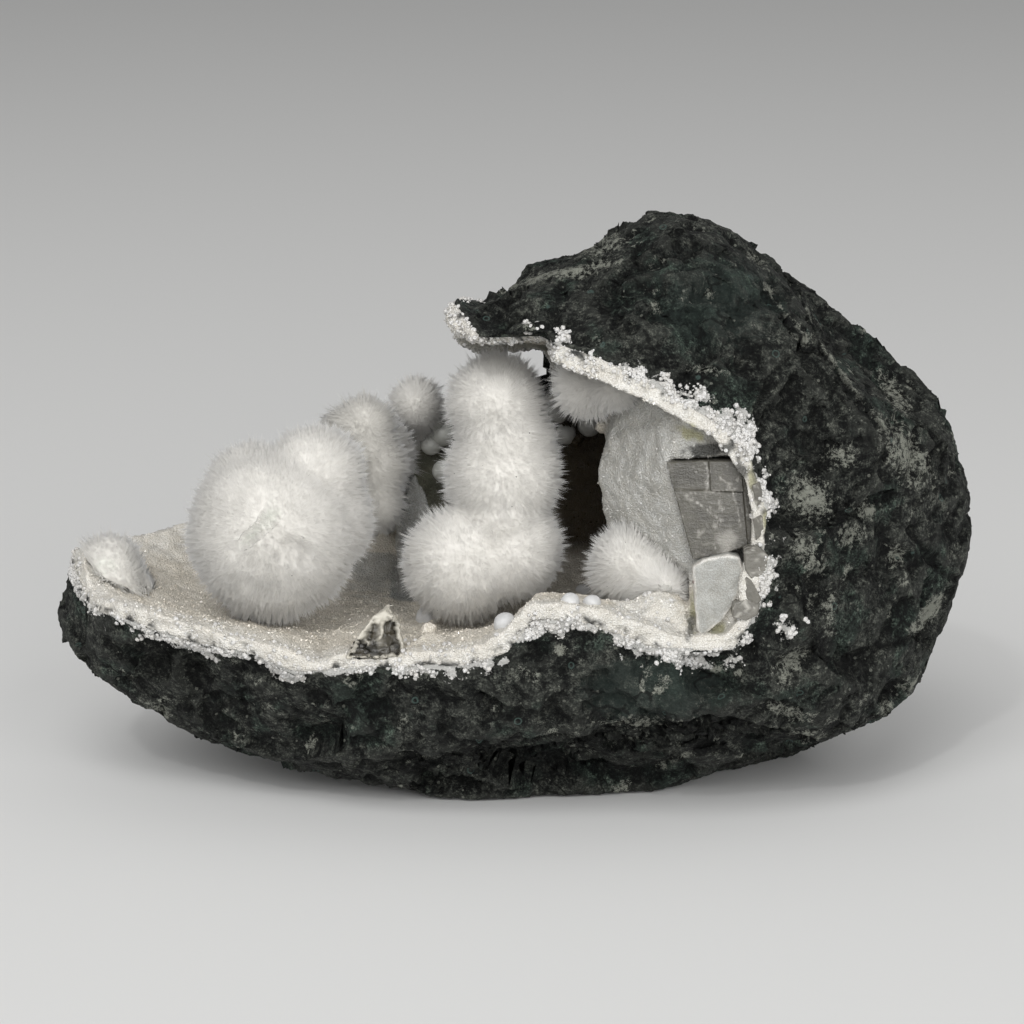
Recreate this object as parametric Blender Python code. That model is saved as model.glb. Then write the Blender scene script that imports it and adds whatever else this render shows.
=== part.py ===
"""Okenite puffballs in a broken basalt nodule.

A hand specimen: the dark basalt nodule is broken open at the front and at the upper left, and its
hollow is lined with a white quartz crust. On the crust grow round okenite puffballs, a calcite
crystal that has lost part of its skin of druse, and a small calcite in the front rim.

Every size below is in millimetres and is turned into metres as the meshes are made. +Z is up, the
open side of the hollow faces -Y, and the origin is at the middle of the specimen's base.
"""

import math
import random

import bmesh
import bpy
import numpy as np
from mathutils import Vector, noise

MM = 0.001

# The nodule's outline seen from the front, as (x, z) round its centre. The points above the left
# half belong to the whole nodule, and are lost where it is broken open.
NODULE_CENTRE = Vector((8, 0, 54))
NODULE_OUTLINE = [
    (92, 50), (91, 60), (88, 72), (85, 79), (78, 86), (67, 94), (57, 101), (45, 109), (37, 112.5),
    (28, 114), (17, 110), (5, 104), (-10, 102), (-30, 97), (-50, 85), (-70, 67), (-84, 54), (-88, 46),
    (-92, 38), (-93.5, 31), (-89, 21), (-82, 16), (-71, 12), (-58, 6.5), (-49, 3.5), (-38, 1.5),
    (-22, -1), (0, -6), (20, -8), (40, -7), (55, -4), (65, 1), (73, 7), (81, 17), (86, 25), (90, 37),
]
NODULE_HALF_DEPTH = 50
NODULE_SQUARENESS = 2.4
NODULE_DIVISIONS = 4
FINE_SIDE_STARTS = 0.05

# Flat broken faces of the nodule: the way each faces, and how deep it cuts into the rounded form.
FRACTURES = [
    ((-0.30, -0.35, 0.89), 4),
    ((-0.15, -0.98, 0.10), 3),
    ((0.62, -0.20, 0.76), 4),
    ((0.72, -0.68, -0.05), 7),
    ((-0.35, -0.80, -0.48), 5),
    ((-0.92, -0.35, -0.10), 2),
    ((0.10, 0.99, 0.05), 4),
    ((-0.60, 0.75, 0.20), 6),
    ((0.50, 0.60, 0.60), 6),
    ((0.10, 0.75, -0.65), 5),
]
# The undercut below the ledge of the front face, in two flat faces: the way each faces and a point.
UNDERCUTS = [((0.087, -0.618, -0.782), (-5, -46, 18.4)), ((0.329, -0.318, -0.889), (36, -19, 2))]
CHIPS = 30
CHIP_DEPTH = (0.6, 2.4)
# Swells and lumps of the broken surface: the size of each kind and how far it moves the surface.
ROCK_LUMPS = [(26, 1.8), (9, 0.9)]

# The hollow's outline at its middle and at its mouth, as (x, z) round its axis. Points over the top
# of the left half are in the open.
HOLLOW_AXIS = (-5, 64)
HOLLOW_MIDDLE = [
    (56, 62), (53, 73), (45, 81), (31, 87), (14, 90), (2, 92), (-8, 93), (-13, 100), (-30, 106), (-60, 98),
    (-100, 72), (-100, 55), (-87, 46), (-82, 40), (-68, 35), (-50, 33), (-30, 32), (-8, 32), (12, 32),
    (30, 33), (46, 39), (54, 50),
]
HOLLOW_MOUTH = [
    (48, 61), (46, 69), (42.5, 76), (37, 81.5), (29, 85), (20, 89), (12, 93), (3, 95), (-7, 93),
    (-11, 97), (-30, 106), (-60, 98), (-100, 72), (-100, 48), (-88, 38), (-78, 40), (-69, 40), (-57, 36.5),
    (-47, 35), (-38, 31.5), (-33, 31), (-28, 34.5), (-19, 33.5), (-8, 34.5), (0, 37.5), (5, 43.5),
    (12, 43.5), (20, 42), (27, 37.5), (34, 36), (42, 37), (46, 43), (45.5, 50),
]
HOLLOW_FRONT = -70
HOLLOW_BACK = 36
FRONT_SQUARENESS = 12
BACK_SQUARENESS = 3
MOUTH_ENDS = -40
MIDDLE_STARTS = -20
HOLLOW_LUMPS = [(14, 1.0)]
HOLLOW_STEPS = (36, 10)
CRUST_STEPS = (48, 12)

# What is broken away at the upper left, as (x, z) at y = 0. The break slopes down towards the back.
BREAK_OUTLINE = [
    (-110, 41), (-89.5, 41), (-87, 46), (-76, 48), (-65.5, 52.3), (-52.5, 60), (-36.5, 69.5),
    (-24.5, 76.8), (-8, 76), (6.6, 77), (9, 79), (8.5, 85), (6.6, 88), (0, 87.4), (-6.4, 87.2),
    (-10.4, 88.6), (-12.4, 93), (-9.8, 96), (-4, 97.8), (1, 103), (3, 130), (-110, 130),
]
BREAK_SLOPE = math.tan(math.radians(12))
BREAK_STEP = 9
BREAK_LUMPS = [(13, 1.3)]

# The crust keeps a hairline from the rock, and what grows on it keeps one from the crust.
HAIRLINE = 0.4
CRUST_THICKNESS = 2.8
CRUST_LUMPS = [(7, 0.9)]

# Crystals under the crust's skin of druse, each the hull of its corners: the big block at the right
# of the hollow, the pointed plate in front of it, and the blade at the back.
DRUSE_BLOCKS = {
    "curtain": [
        (20.5, -13, 80), (17, -20, 66), (17.5, -21, 60), (21, -20, 52), (33, -37, 51), (29, -38.5, 71),
        (36, -39, 88), (25, -27, 94), (27, 6, 94), (25, 6, 30), (62, 6, 90), (62, 6, 30), (60, -34, 86),
        (60, -37, 50), (28, -14, 30), (60, -30, 30),
    ],
    "plate": [
        (33.5, -41, 50.5), (37, -44, 52.5), (42.5, -45, 54), (45.5, -45.5, 39), (38, -43, 38), (34, -39, 41),
        (34, -33, 50), (46, -34, 50), (46, -34, 38), (36, -32, 38),
    ],
    "blade": [
        (-19.7, 14, 58.5), (-23.5, 12, 50), (-22.5, 9, 28), (-15.5, 8, 28), (-16, 12, 52), (-21, 21, 56),
        (-23, 22, 28), (-14, 20, 28),
    ],
}
# Smooth round beads of quartz on the crust, as (x, y, z, radius).
BEADS = [
    (-15.6, -37, 38.6, 3.2), (-1.3, -38.5, 38.2, 3.4), (10.0, -30, 41.0, 3.0), (16.4, -32, 41.3, 3.2),
    (28.2, -37, 39.6, 6.8), (31.5, -41, 37.5, 4.2), (22.5, -38, 40.5, 4.0), (18.2, -13, 73.4, 3.2),
    (10.0, 29, 68.0, 3.4), (13.6, 30, 62.6, 3.2), (-14.1, 29, 57.6, 3.4), (-11.8, 30, 52.7, 3.2),
]
BEAD_DIVISIONS = 2

# The calcites, each the hull of its corners.
CALCITES = {
    "calcite_right": [
        (29.2, -40.2, 71.6), (41.9, -41, 72.2), (46.6, -41.5, 64), (46.2, -42.5, 56.5), (39.5, -43, 54.6),
        (34.2, -42.5, 53.4), (31.0, -32, 71.0), (44.0, -31, 71.0), (47.0, -32, 57), (35.6, -33, 54.6),
    ],
    "calcite_front": [
        (-31.0, -46.5, 35.2), (-29.2, -46.2, 38.6), (-26.6, -45.2, 42.4), (-23.6, -44.4, 44.2),
        (-21.0, -44.8, 41.8), (-20.0, -46.4, 35.2), (-23.2, -38.2, 43.6), (-30, -38, 35), (-20.5, -38, 35),
    ],
}

# Okenite puffballs. Each is a group of grown-together balls, as (x, y, z, radius).
PUFFBALLS = {
    "puffball_column": [
        (-2.7, -12, 77.5, 10.3), (0.2, -12, 71.0, 8.8), (-1.4, -12, 63.5, 11.6), (-0.6, -13, 49.0, 11.0),
        (-9.6, -14, 46.2, 11.6),
    ],
    "puffball_left_front": [
        (-46.3, -19, 53.2, 16.8), (-38.2, -14, 63.6, 10.4), (-50.6, -14, 60.4, 10.3), (-38.5, -15, 55, 11.5),
    ],
    "puffball_left_rear": [
        (-29.4, 5, 69.9, 6.4), (-28.0, 5, 62.0, 7.2), (-28.0, 4, 54.6, 6.3), (-28.5, 15, 62, 8.8),
    ],
    "puffball_back": [(-19.6, 24, 70.8, 6.0), (-19.8, 29, 67.4, 6.0)],
    "puffball_right": [(23.2, -26, 48.4, 8.2), (30.2, -32, 44.2, 7.0)],
    "puffball_ceiling": [(14.6, -22, 83.0, 6.6), (19.6, -27, 84.4, 5.6)],
    "puffball_far_left": [(-79.6, -8, 41.2, 9.4), (-71.5, -8, 39.0, 7.0)],
}
LARGE_BALL = 10.5
PUFFBALL_LUMPS = [(9, 0.5)]
TUFTS = [(3.1, 0.9)]


def falloff(value, start, end):
    """0 at start and 1 at end, rising smoothly between them."""
    share = min(1.0, max(0.0, (value - start) / (end - start)))
    return share * share * (3 - 2 * share)


def lumps(point, kinds):
    """How far the lumps of each (size, height) lift the surface at a point."""
    return sum(height * noise.noise(point / size) for size, height in kinds)


class PolarOutline:
    """A closed outline of (x, z) points, read as a distance from a centre at any angle."""

    def __init__(self, points, centre):
        offsets = [(x - centre[0], z - centre[1]) for x, z in points]
        self.angles = np.array([math.atan2(z, x) for x, z in offsets])
        self.radii = np.array([math.hypot(x, z) for x, z in offsets])

    def radius(self, angle):
        return float(np.interp(angle, self.angles, self.radii, period=2 * math.pi))

    def even_angle(self, share):
        """The angle that lies this share of the way round, measured along the outline."""
        angles = np.linspace(-math.pi, math.pi, 721)
        radii = np.interp(angles, self.angles, self.radii, period=2 * math.pi)
        across = np.hypot(np.diff(radii * np.cos(angles)), np.diff(radii * np.sin(angles)))
        travelled = np.concatenate([[0], np.cumsum(across)])
        return float(np.interp(share * travelled[-1], travelled, angles))


def clear_scene():
    for obj in list(bpy.data.objects):
        bpy.data.objects.remove(obj, do_unlink=True)


def new_collection(name):
    collection = bpy.data.collections.new(name)
    bpy.context.scene.collection.children.link(collection)
    return collection


def new_material(name, colour, roughness, transmission=0.0):
    material = bpy.data.materials.new(name)
    material.use_nodes = True
    shader = material.node_tree.nodes["Principled BSDF"]
    shader.inputs["Base Color"].default_value = (*colour, 1)
    shader.inputs["Roughness"].default_value = roughness
    shader.inputs["Metallic"].default_value = 0
    shader.inputs["Transmission Weight"].default_value = transmission
    return material


def face_outwards(bm):
    bm.normal_update()
    bmesh.ops.recalc_face_normals(bm, faces=bm.faces)
    bm.normal_update()


def new_object(name, bm, collection, material=None):
    """A mesh object of a bmesh whose points are in millimetres."""
    bmesh.ops.scale(bm, vec=(MM, MM, MM), verts=bm.verts)
    face_outwards(bm)
    mesh = bpy.data.meshes.new(name)
    bm.to_mesh(mesh)
    bm.free()
    obj = bpy.data.objects.new(name, mesh)
    collection.objects.link(obj)
    if material:
        mesh.materials.append(material)
    return obj


def cutter(name, bm, collection):
    """A helper solid that shapes other pieces and isn't part of the specimen."""
    obj = new_object(name, bm, collection)
    obj.hide_render = True
    obj.display_type = "WIRE"
    return obj


def boolean(obj, operand, operation):
    """Cuts or joins with one cutter, or with a whole collection of them."""
    modifier = obj.modifiers.new(f"{operation.lower()}_{operand.name}", "BOOLEAN")
    modifier.operation = operation
    modifier.solver = "EXACT"
    if isinstance(operand, bpy.types.Collection):
        modifier.operand_type = "COLLECTION"
        modifier.collection = operand
    else:
        modifier.object = operand


def flatten(bm, facing, distance):
    """Moves what lies beyond a plane straight back onto it."""
    for vert in bm.verts:
        beyond = vert.co.dot(facing) - distance
        if beyond > 0:
            vert.co -= facing * beyond


def nodule_form():
    """The whole nodule before it was broken open: a rounded form with flat broken faces."""
    outline = PolarOutline(NODULE_OUTLINE, (NODULE_CENTRE.x, NODULE_CENTRE.z))
    bm = bmesh.new()
    bmesh.ops.create_icosphere(bm, subdivisions=NODULE_DIVISIONS, radius=1)
    front = [edge for edge in bm.edges if all(vert.co.y < FINE_SIDE_STARTS for vert in edge.verts)]
    bmesh.ops.subdivide_edges(bm, edges=front, cuts=1, use_grid_fill=True)
    bmesh.ops.triangulate(bm, faces=bm.faces)
    power = NODULE_SQUARENESS
    for vert in bm.verts:
        way = vert.co.normalized()
        across = math.hypot(way.x, way.z) / outline.radius(math.atan2(way.z, way.x))
        deep = abs(way.y) / NODULE_HALF_DEPTH
        vert.co = NODULE_CENTRE + way * (across**power + deep**power) ** (-1 / power)
    dice = random.Random(11)
    for facing, depth in FRACTURES + [random_chip(dice) for _ in range(CHIPS)]:
        facing = Vector(facing).normalized()
        flatten(bm, facing, max(vert.co.dot(facing) for vert in bm.verts) - depth)
    for facing, point in UNDERCUTS:
        facing = Vector(facing).normalized()
        flatten(bm, facing, Vector(point).dot(facing))
    for vert in bm.verts:
        way = (vert.co - NODULE_CENTRE).normalized()
        vert.co += way * lumps(vert.co, ROCK_LUMPS)
    return bm


def random_chip(dice):
    """A shallow chip that faces any way, as the FRACTURES are given."""
    facing = [dice.gauss(0, 1) for _ in range(3)]
    return facing, dice.uniform(*CHIP_DEPTH)


def hollow_form(steps, inset=0.0, roughness=0.0):
    """The hollow as a closed form, which leaves the nodule at the front and at the upper left.

    inset draws the whole form inwards, and roughness is the share of the crust's own lumps on it.
    """
    mouth = PolarOutline(HOLLOW_MOUTH, HOLLOW_AXIS)
    middle = PolarOutline(HOLLOW_MIDDLE, HOLLOW_AXIS)
    bm = bmesh.new()
    bmesh.ops.create_uvsphere(bm, u_segments=steps[0], v_segments=steps[1], radius=1)
    bmesh.ops.triangulate(bm, faces=bm.faces, quad_method="FIXED")
    for vert in bm.verts:
        along = vert.co.z
        reach, power = (-HOLLOW_FRONT, FRONT_SQUARENESS) if along < 0 else (HOLLOW_BACK, BACK_SQUARENESS)
        y = along * reach
        angle = middle.even_angle((math.atan2(vert.co.y, vert.co.x) / math.pi + 1) / 2)
        deep = falloff(y, MOUTH_ENDS, MIDDLE_STARTS)
        radius = mouth.radius(angle) * (1 - deep) + middle.radius(angle) * deep
        radius *= max(0.0, 1 - abs(along) ** power) ** (1 / power)
        vert.co = Vector(
            (HOLLOW_AXIS[0] + radius * math.cos(angle), y, HOLLOW_AXIS[1] + radius * math.sin(angle))
        )
    face_outwards(bm)
    moved = {}
    for vert in bm.verts:
        depth = inset - lumps(vert.co, HOLLOW_LUMPS)
        depth += roughness * lumps(vert.co, CRUST_LUMPS)
        moved[vert] = vert.co - vert.normal * depth
    for vert, place in moved.items():
        vert.co = place
    return bm


def break_form():
    """The block that the break took away, with a rough lower side that slopes down to the back."""
    bm = bmesh.new()
    depth = 1.4 * NODULE_HALF_DEPTH
    verts = [bm.verts.new((x, -depth, z + depth * BREAK_SLOPE)) for x, z in BREAK_OUTLINE]
    end = bm.faces.new(verts)
    steps = math.ceil(2 * depth / BREAK_STEP)
    step = Vector((0, 2 * depth / steps, -2 * depth / steps * BREAK_SLOPE))
    first = bmesh.ops.extrude_face_region(bm, geom=[end])["geom"]
    end = next(item for item in first if isinstance(item, bmesh.types.BMFace))
    bmesh.ops.translate(bm, vec=step, verts=end.verts)
    for _ in range(steps - 1):
        end = bmesh.ops.extrude_discrete_faces(bm, faces=[end])["faces"][0]
        bmesh.ops.translate(bm, vec=step, verts=end.verts)
    for vert in bm.verts:
        lift = lumps(vert.co, BREAK_LUMPS)
        vert.co += Vector((-0.5 * lift, 0, lift))
    return bm


def ground_form():
    """What lies below the flat base."""
    bm = bmesh.new()
    bmesh.ops.create_cube(bm, size=1)
    bmesh.ops.scale(bm, vec=(400, 400, 100), verts=bm.verts)
    bmesh.ops.translate(bm, vec=(0, 0, -50), verts=bm.verts)
    return bm


def ball_form(x, y, z, radius, divisions, unevenness=PUFFBALL_LUMPS):
    """One round ball, slightly uneven."""
    bm = bmesh.new()
    bmesh.ops.create_icosphere(bm, subdivisions=divisions, radius=radius)
    centre = Vector((x, y, z))
    for vert in bm.verts:
        vert.co += centre
        vert.co += (vert.co - centre).normalized() * lumps(vert.co, unevenness)
    return bm


def crystal_form(corners, swelling=0.0):
    """The hull of a crystal's corners, swollen outwards from its middle by a distance."""
    bm = bmesh.new()
    middle = sum((Vector(corner) for corner in corners), Vector()) / len(corners)
    for corner in corners:
        away = Vector(corner) - middle
        bm.verts.new(middle + away * (1 + swelling / away.length))
    hull = bmesh.ops.convex_hull(bm, input=bm.verts)
    loose = {item for item in hull["geom_interior"] if isinstance(item, bmesh.types.BMVert)}
    bmesh.ops.delete(bm, geom=list(loose), context="VERTS")
    return bm


def growths(name, clearance, helpers):
    """A collection of the crystals and beads that grow from the crust, swollen by a clearance."""
    collection = bpy.data.collections.new(name)
    helpers.children.link(collection)
    for block, corners in DRUSE_BLOCKS.items():
        cutter(f"{name}_{block}", crystal_form(corners, clearance), collection)
    for number, (x, y, z, radius) in enumerate(BEADS):
        form = ball_form(x, y, z, radius + clearance, BEAD_DIVISIONS)
        cutter(f"{name}_bead_{number}", form, collection)
    return collection


def centre_on_base(objects, parts):
    """Moves everything so that the origin is at the middle of the box round the parts, at its base."""
    depsgraph = bpy.context.evaluated_depsgraph_get()
    corners = []
    for part in parts.objects:
        mesh = part.evaluated_get(depsgraph).to_mesh()
        corners += [vert.co.copy() for vert in mesh.vertices]
        part.evaluated_get(depsgraph).to_mesh_clear()
    lowest = [min(corner[axis] for corner in corners) for axis in range(3)]
    highest = [max(corner[axis] for corner in corners) for axis in range(3)]
    middle = Vector(((lowest[0] + highest[0]) / 2, (lowest[1] + highest[1]) / 2, lowest[2]))
    for obj in objects:
        obj.location -= middle


def okenite_ball(x, y, z, radius):
    """A ball whose fibres end in tufts. The form reaches to the tips of the fibres."""
    return ball_form(x, y, z, radius, 3 if radius > LARGE_BALL else 2, PUFFBALL_LUMPS + TUFTS)


def puffball(name, balls, bed, obstacles, parts, helpers, material):
    """A group of balls grown together into one solid that sits on the crust."""
    obj = new_object(name, okenite_ball(*balls[0]), parts, material)
    for number, ball in enumerate(balls[1:]):
        boolean(obj, cutter(f"{name}_ball_{number}", okenite_ball(*ball), helpers), "UNION")
    boolean(obj, bed, "INTERSECT")
    boolean(obj, obstacles, "DIFFERENCE")
    return obj


def main():
    clear_scene()
    parts = new_collection("okenite_specimen")
    helpers = new_collection("helpers")
    basalt = new_material("basalt", (0.055, 0.062, 0.06), 0.8)
    quartz = new_material("quartz_crust", (0.78, 0.76, 0.72), 0.5)
    okenite = new_material("okenite", (0.88, 0.87, 0.84), 0.7)
    calcite = new_material("calcite", (0.42, 0.37, 0.32), 0.25)

    ground = cutter("below_base", ground_form(), helpers)
    broken = cutter("broken_away", break_form(), helpers)
    hollow = cutter("hollow", hollow_form(HOLLOW_STEPS), helpers)
    nodule = cutter("whole_nodule", nodule_form(), helpers)
    inner = HAIRLINE + CRUST_THICKNESS
    inside = cutter("crust_inside", hollow_form(CRUST_STEPS, inner, 1), helpers)
    boolean(inside, growths("growth", 0, helpers), "DIFFERENCE")
    bed = cutter("growth_bed", hollow_form(CRUST_STEPS, inner + HAIRLINE, 1), helpers)
    obstacles = growths("obstacle", HAIRLINE, helpers)
    crust_outside = cutter("crust_outside", hollow_form(HOLLOW_STEPS, HAIRLINE), helpers)

    matrix = new_object("basalt_matrix", nodule_form(), parts, basalt)
    for taken in (ground, broken, hollow):
        boolean(matrix, taken, "DIFFERENCE")

    crust = new_object("quartz_crust", hollow_form(HOLLOW_STEPS, HAIRLINE), parts, quartz)
    boolean(crust, inside, "DIFFERENCE")
    boolean(crust, nodule, "INTERSECT")
    for taken in (ground, broken):
        boolean(crust, taken, "DIFFERENCE")

    for name, corners in CALCITES.items():
        crystal = new_object(name, crystal_form(corners), parts, calcite)
        boolean(crystal, crust_outside, "INTERSECT")
        pocket = cutter(f"pocket_{name}", crystal_form(corners, HAIRLINE), obstacles)
        boolean(crust, pocket, "DIFFERENCE")

    for name, balls in PUFFBALLS.items():
        puffball(name, balls, bed, obstacles, parts, helpers, okenite)

    centre_on_base(bpy.data.objects, parts)


main()
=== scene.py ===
"""Okenite puffballs in a broken basalt nodule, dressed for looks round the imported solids.

Lengths are in millimetres and angles in degrees unless a name says otherwise, and become metres as
the meshes are made. +Z is up and the open side of the hollow faces -Y. Marks on the front of the rock
are laid out where the photograph shows them, in its pixels, and are kept on the rock's own surface.
"""

import logging
import math
from dataclasses import dataclass, field
from enum import Enum

import bpy
import numpy as np
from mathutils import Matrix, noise
from mathutils.bvhtree import BVHTree
from mathutils.kdtree import KDTree


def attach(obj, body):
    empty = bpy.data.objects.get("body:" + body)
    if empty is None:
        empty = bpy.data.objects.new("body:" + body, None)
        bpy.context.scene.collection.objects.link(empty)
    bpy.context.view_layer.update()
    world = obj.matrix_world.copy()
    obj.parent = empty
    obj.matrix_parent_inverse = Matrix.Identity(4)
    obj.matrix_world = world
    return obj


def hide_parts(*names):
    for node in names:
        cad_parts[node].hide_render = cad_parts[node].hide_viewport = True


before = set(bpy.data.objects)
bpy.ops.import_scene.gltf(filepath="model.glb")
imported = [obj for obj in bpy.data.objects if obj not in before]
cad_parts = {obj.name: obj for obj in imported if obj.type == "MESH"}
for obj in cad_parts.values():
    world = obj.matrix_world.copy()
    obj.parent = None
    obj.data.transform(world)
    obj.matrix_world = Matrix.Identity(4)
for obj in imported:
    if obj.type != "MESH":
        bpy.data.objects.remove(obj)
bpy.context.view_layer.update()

MM = 0.001

log = logging.getLogger("okenite specimen")

Colour = tuple[float, float, float]
Triple = tuple[float, float, float]
Ball = tuple[float, float, float, float]
Line = tuple[tuple[float, float], ...]

MERGE_DISTANCE = 1e-6
GROUP_STEPS = 20
SMALLEST_LENGTH = 1e-9
FARTHEST = 1e9
FULL_TURN = 6.28
PLAIN = (1.0, 1.0, 1.0)


class Node(Enum):
    """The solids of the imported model."""

    BASALT = "basalt_matrix"
    CRUST = "quartz_crust"
    CALCITE_RIGHT = "calcite_right"
    CALCITE_FRONT = "calcite_front"
    COLUMN = "puffball_column"
    LEFT_FRONT = "puffball_left_front"
    LEFT_REAR = "puffball_left_rear"
    BACK = "puffball_back"
    RIGHT = "puffball_right"
    CEILING = "puffball_ceiling"
    FAR_LEFT = "puffball_far_left"


class Slot(Enum):
    """The record's material slots."""

    BASALT = "basalt"
    QUARTZ = "quartz"
    OKENITE = "okenite"
    CALCITE = "calcite"


# Working with meshes.


def deselect_all() -> None:
    """Leaves object mode with nothing selected."""
    if bpy.context.object and bpy.context.object.mode != "OBJECT":
        bpy.ops.object.mode_set(mode="OBJECT")
    bpy.ops.object.select_all(action="DESELECT")


def select_only(obj: bpy.types.Object) -> None:
    """Makes one object the selected and active one.

    Args:
        obj: The object.
    """
    deselect_all()
    obj.select_set(True)
    bpy.context.view_layer.objects.active = obj


def edit(obj: bpy.types.Object) -> None:
    """Opens one object in edit mode with all of it selected.

    Args:
        obj: The object.
    """
    select_only(obj)
    bpy.ops.object.mode_set(mode="EDIT")
    bpy.ops.mesh.select_all(action="SELECT")


def close_edit() -> None:
    """Goes back to object mode."""
    bpy.ops.object.mode_set(mode="OBJECT")


def apply_place(obj: bpy.types.Object) -> None:
    """Moves an object's place, turn and scale into its mesh."""
    select_only(obj)
    bpy.ops.object.transform_apply(location=True, rotation=True, scale=True)


def copy_of_node(node: Node, name: str) -> bpy.types.Object:
    """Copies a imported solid's mesh into a new object and merges its loose triangles.

    Args:
        node: The solid to copy.
        name: The new object's name.

    Returns:
        The new object, which is closed and faces outwards.
    """
    obj = bpy.data.objects.new(name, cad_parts[node.value].data.copy())
    obj.data.name = name
    obj.data.materials.clear()
    bpy.context.scene.collection.objects.link(obj)
    edit(obj)
    bpy.ops.mesh.remove_doubles(threshold=MERGE_DISTANCE)
    bpy.ops.mesh.normals_make_consistent(inside=False)
    close_edit()
    return obj


def modify(obj: bpy.types.Object, kind: str, **settings: object) -> None:
    """Adds one modifier, sets it and applies it.

    Args:
        obj: The object to shape.
        kind: Blender's name for the modifier.
        **settings: The modifier's properties.
    """
    select_only(obj)
    modifier = obj.modifiers.new(kind.lower(), kind)
    for key, value in settings.items():
        setattr(modifier, key, value)
    bpy.ops.object.modifier_apply(modifier=modifier.name)


def remesh(obj: bpy.types.Object, voxel: float) -> None:
    """Covers a closed form in even quads.

    Args:
        obj: The object to cover.
        voxel: The side of a quad.
    """
    modify(obj, "REMESH", mode="VOXEL", voxel_size=voxel * MM, use_smooth_shade=True)


def decimate_to(obj: bpy.types.Object, triangles: int) -> None:
    """Triangulates a mesh and thins it, least where it is rough, to a number of triangles.

    Args:
        obj: The mesh.
        triangles: How many triangles stay at most.
    """
    modify(obj, "TRIANGULATE")
    count = len(obj.data.polygons)
    if count > triangles:
        modify(obj, "DECIMATE", ratio=triangles / count)


def join(objects: list[bpy.types.Object], name: str) -> bpy.types.Object:
    """Joins objects into the first of them and names it.

    Args:
        objects: The objects.
        name: The joined object's name.

    Returns:
        The joined object.
    """
    deselect_all()
    for obj in objects:
        obj.select_set(True)
    bpy.context.view_layer.objects.active = objects[0]
    bpy.ops.object.join()
    objects[0].name = name
    return objects[0]


def facet(obj: bpy.types.Object, edge: float, cuts: int) -> None:
    """Bevels the edges of a crystal and divides its faces.

    Args:
        obj: The crystal.
        edge: The width of the bevel.
        cuts: How often each side of a face is cut.
    """
    modify(obj, "BEVEL", width=edge * MM, segments=1, limit_method="ANGLE")
    if cuts:
        modify(obj, "TRIANGULATE")
        edit(obj)
        bpy.ops.mesh.subdivide(number_cuts=cuts)
        close_edit()


def thin_selected(obj: bpy.types.Object, chosen: np.ndarray, ratio: float) -> None:
    """Thins the part of a mesh that nothing shows.

    Args:
        obj: The mesh.
        chosen: True for each point in the part to thin.
        ratio: The share of its faces that stay.
    """
    edit(obj)
    bpy.ops.mesh.select_all(action="DESELECT")
    bpy.ops.mesh.select_mode(type="VERT")
    close_edit()
    obj.data.vertices.foreach_set("select", chosen)
    bpy.ops.object.mode_set(mode="EDIT")
    bpy.ops.mesh.decimate(ratio=ratio)
    close_edit()


@dataclass(frozen=True)
class Relief:
    """A pattern of lumps that moves a surface along its normals."""

    size: float
    height: float
    basis: str = "ORIGINAL_PERLIN"
    hard: bool = False
    depth: int = 1

    def press(self, obj: bpy.types.Object, group: str = "") -> None:
        """Moves the surface by this pattern, weighted by a vertex group if one is named.

        Args:
            obj: The object to shape.
            group: The vertex group, or nothing for the whole surface.
        """
        texture = bpy.data.textures.new(f"relief_{self.size}", "CLOUDS")
        texture.noise_scale = self.size * MM
        texture.noise_basis = self.basis
        texture.noise_type = "HARD_NOISE" if self.hard else "SOFT_NOISE"
        texture.noise_depth = self.depth
        modify(
            obj,
            "DISPLACE",
            texture=texture,
            texture_coords="LOCAL",
            strength=self.height * MM,
            mid_level=0.5,
            vertex_group=group,
        )


def read_rows(parts: bpy.types.bpy_prop_collection, key: str, width: int, kind: type) -> np.ndarray:
    """Reads one property of all the parts of a mesh.

    Args:
        parts: The parts, such as the mesh's vertices.
        key: The property's name.
        width: How many numbers it has.
        kind: The kind of the numbers.

    Returns:
        The numbers, one part to a row.
    """
    flat = np.empty(len(parts) * width, dtype=kind)
    parts.foreach_get(key, flat)
    return flat.reshape(-1, width)


def points_of(obj: bpy.types.Object) -> np.ndarray:
    """The points of a mesh in millimetres, one to a row."""
    return read_rows(obj.data.vertices, "co", 3, np.float32).astype(float) / MM


def move_points(obj: bpy.types.Object, points: np.ndarray) -> None:
    """Gives the points of a mesh new places, in millimetres."""
    obj.data.vertices.foreach_set("co", (points * MM).astype(np.float32).ravel())
    obj.data.update()


def normals_of(obj: bpy.types.Object) -> np.ndarray:
    """The normals at the points of a mesh, one to a row."""
    return read_rows(obj.data.vertex_normals, "vector", 3, np.float32).astype(float)


def triangles_of(obj: bpy.types.Object) -> np.ndarray:
    """The triangles of a mesh as rows of three point numbers."""
    obj.data.calc_loop_triangles()
    return read_rows(obj.data.loop_triangles, "vertices", 3, np.int32)


def new_mesh_object(name: str, points: np.ndarray, triangles: np.ndarray) -> bpy.types.Object:
    """Makes an object of points in millimetres and triangles.

    Args:
        name: Its name.
        points: Its points, one to a row.
        triangles: Rows of three point numbers.

    Returns:
        The new object.
    """
    mesh = bpy.data.meshes.new(name)
    mesh.from_pydata((points * MM).tolist(), [], triangles.tolist())
    mesh.update()
    obj = bpy.data.objects.new(name, mesh)
    bpy.context.scene.collection.objects.link(obj)
    return obj


def write_values(obj: bpy.types.Object, name: str, values: np.ndarray) -> None:
    """Stores one number at each point of a mesh, for its material to read."""
    attribute = obj.data.attributes.new(name, "FLOAT", "POINT")
    attribute.data.foreach_set("value", values.astype(np.float32))


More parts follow.
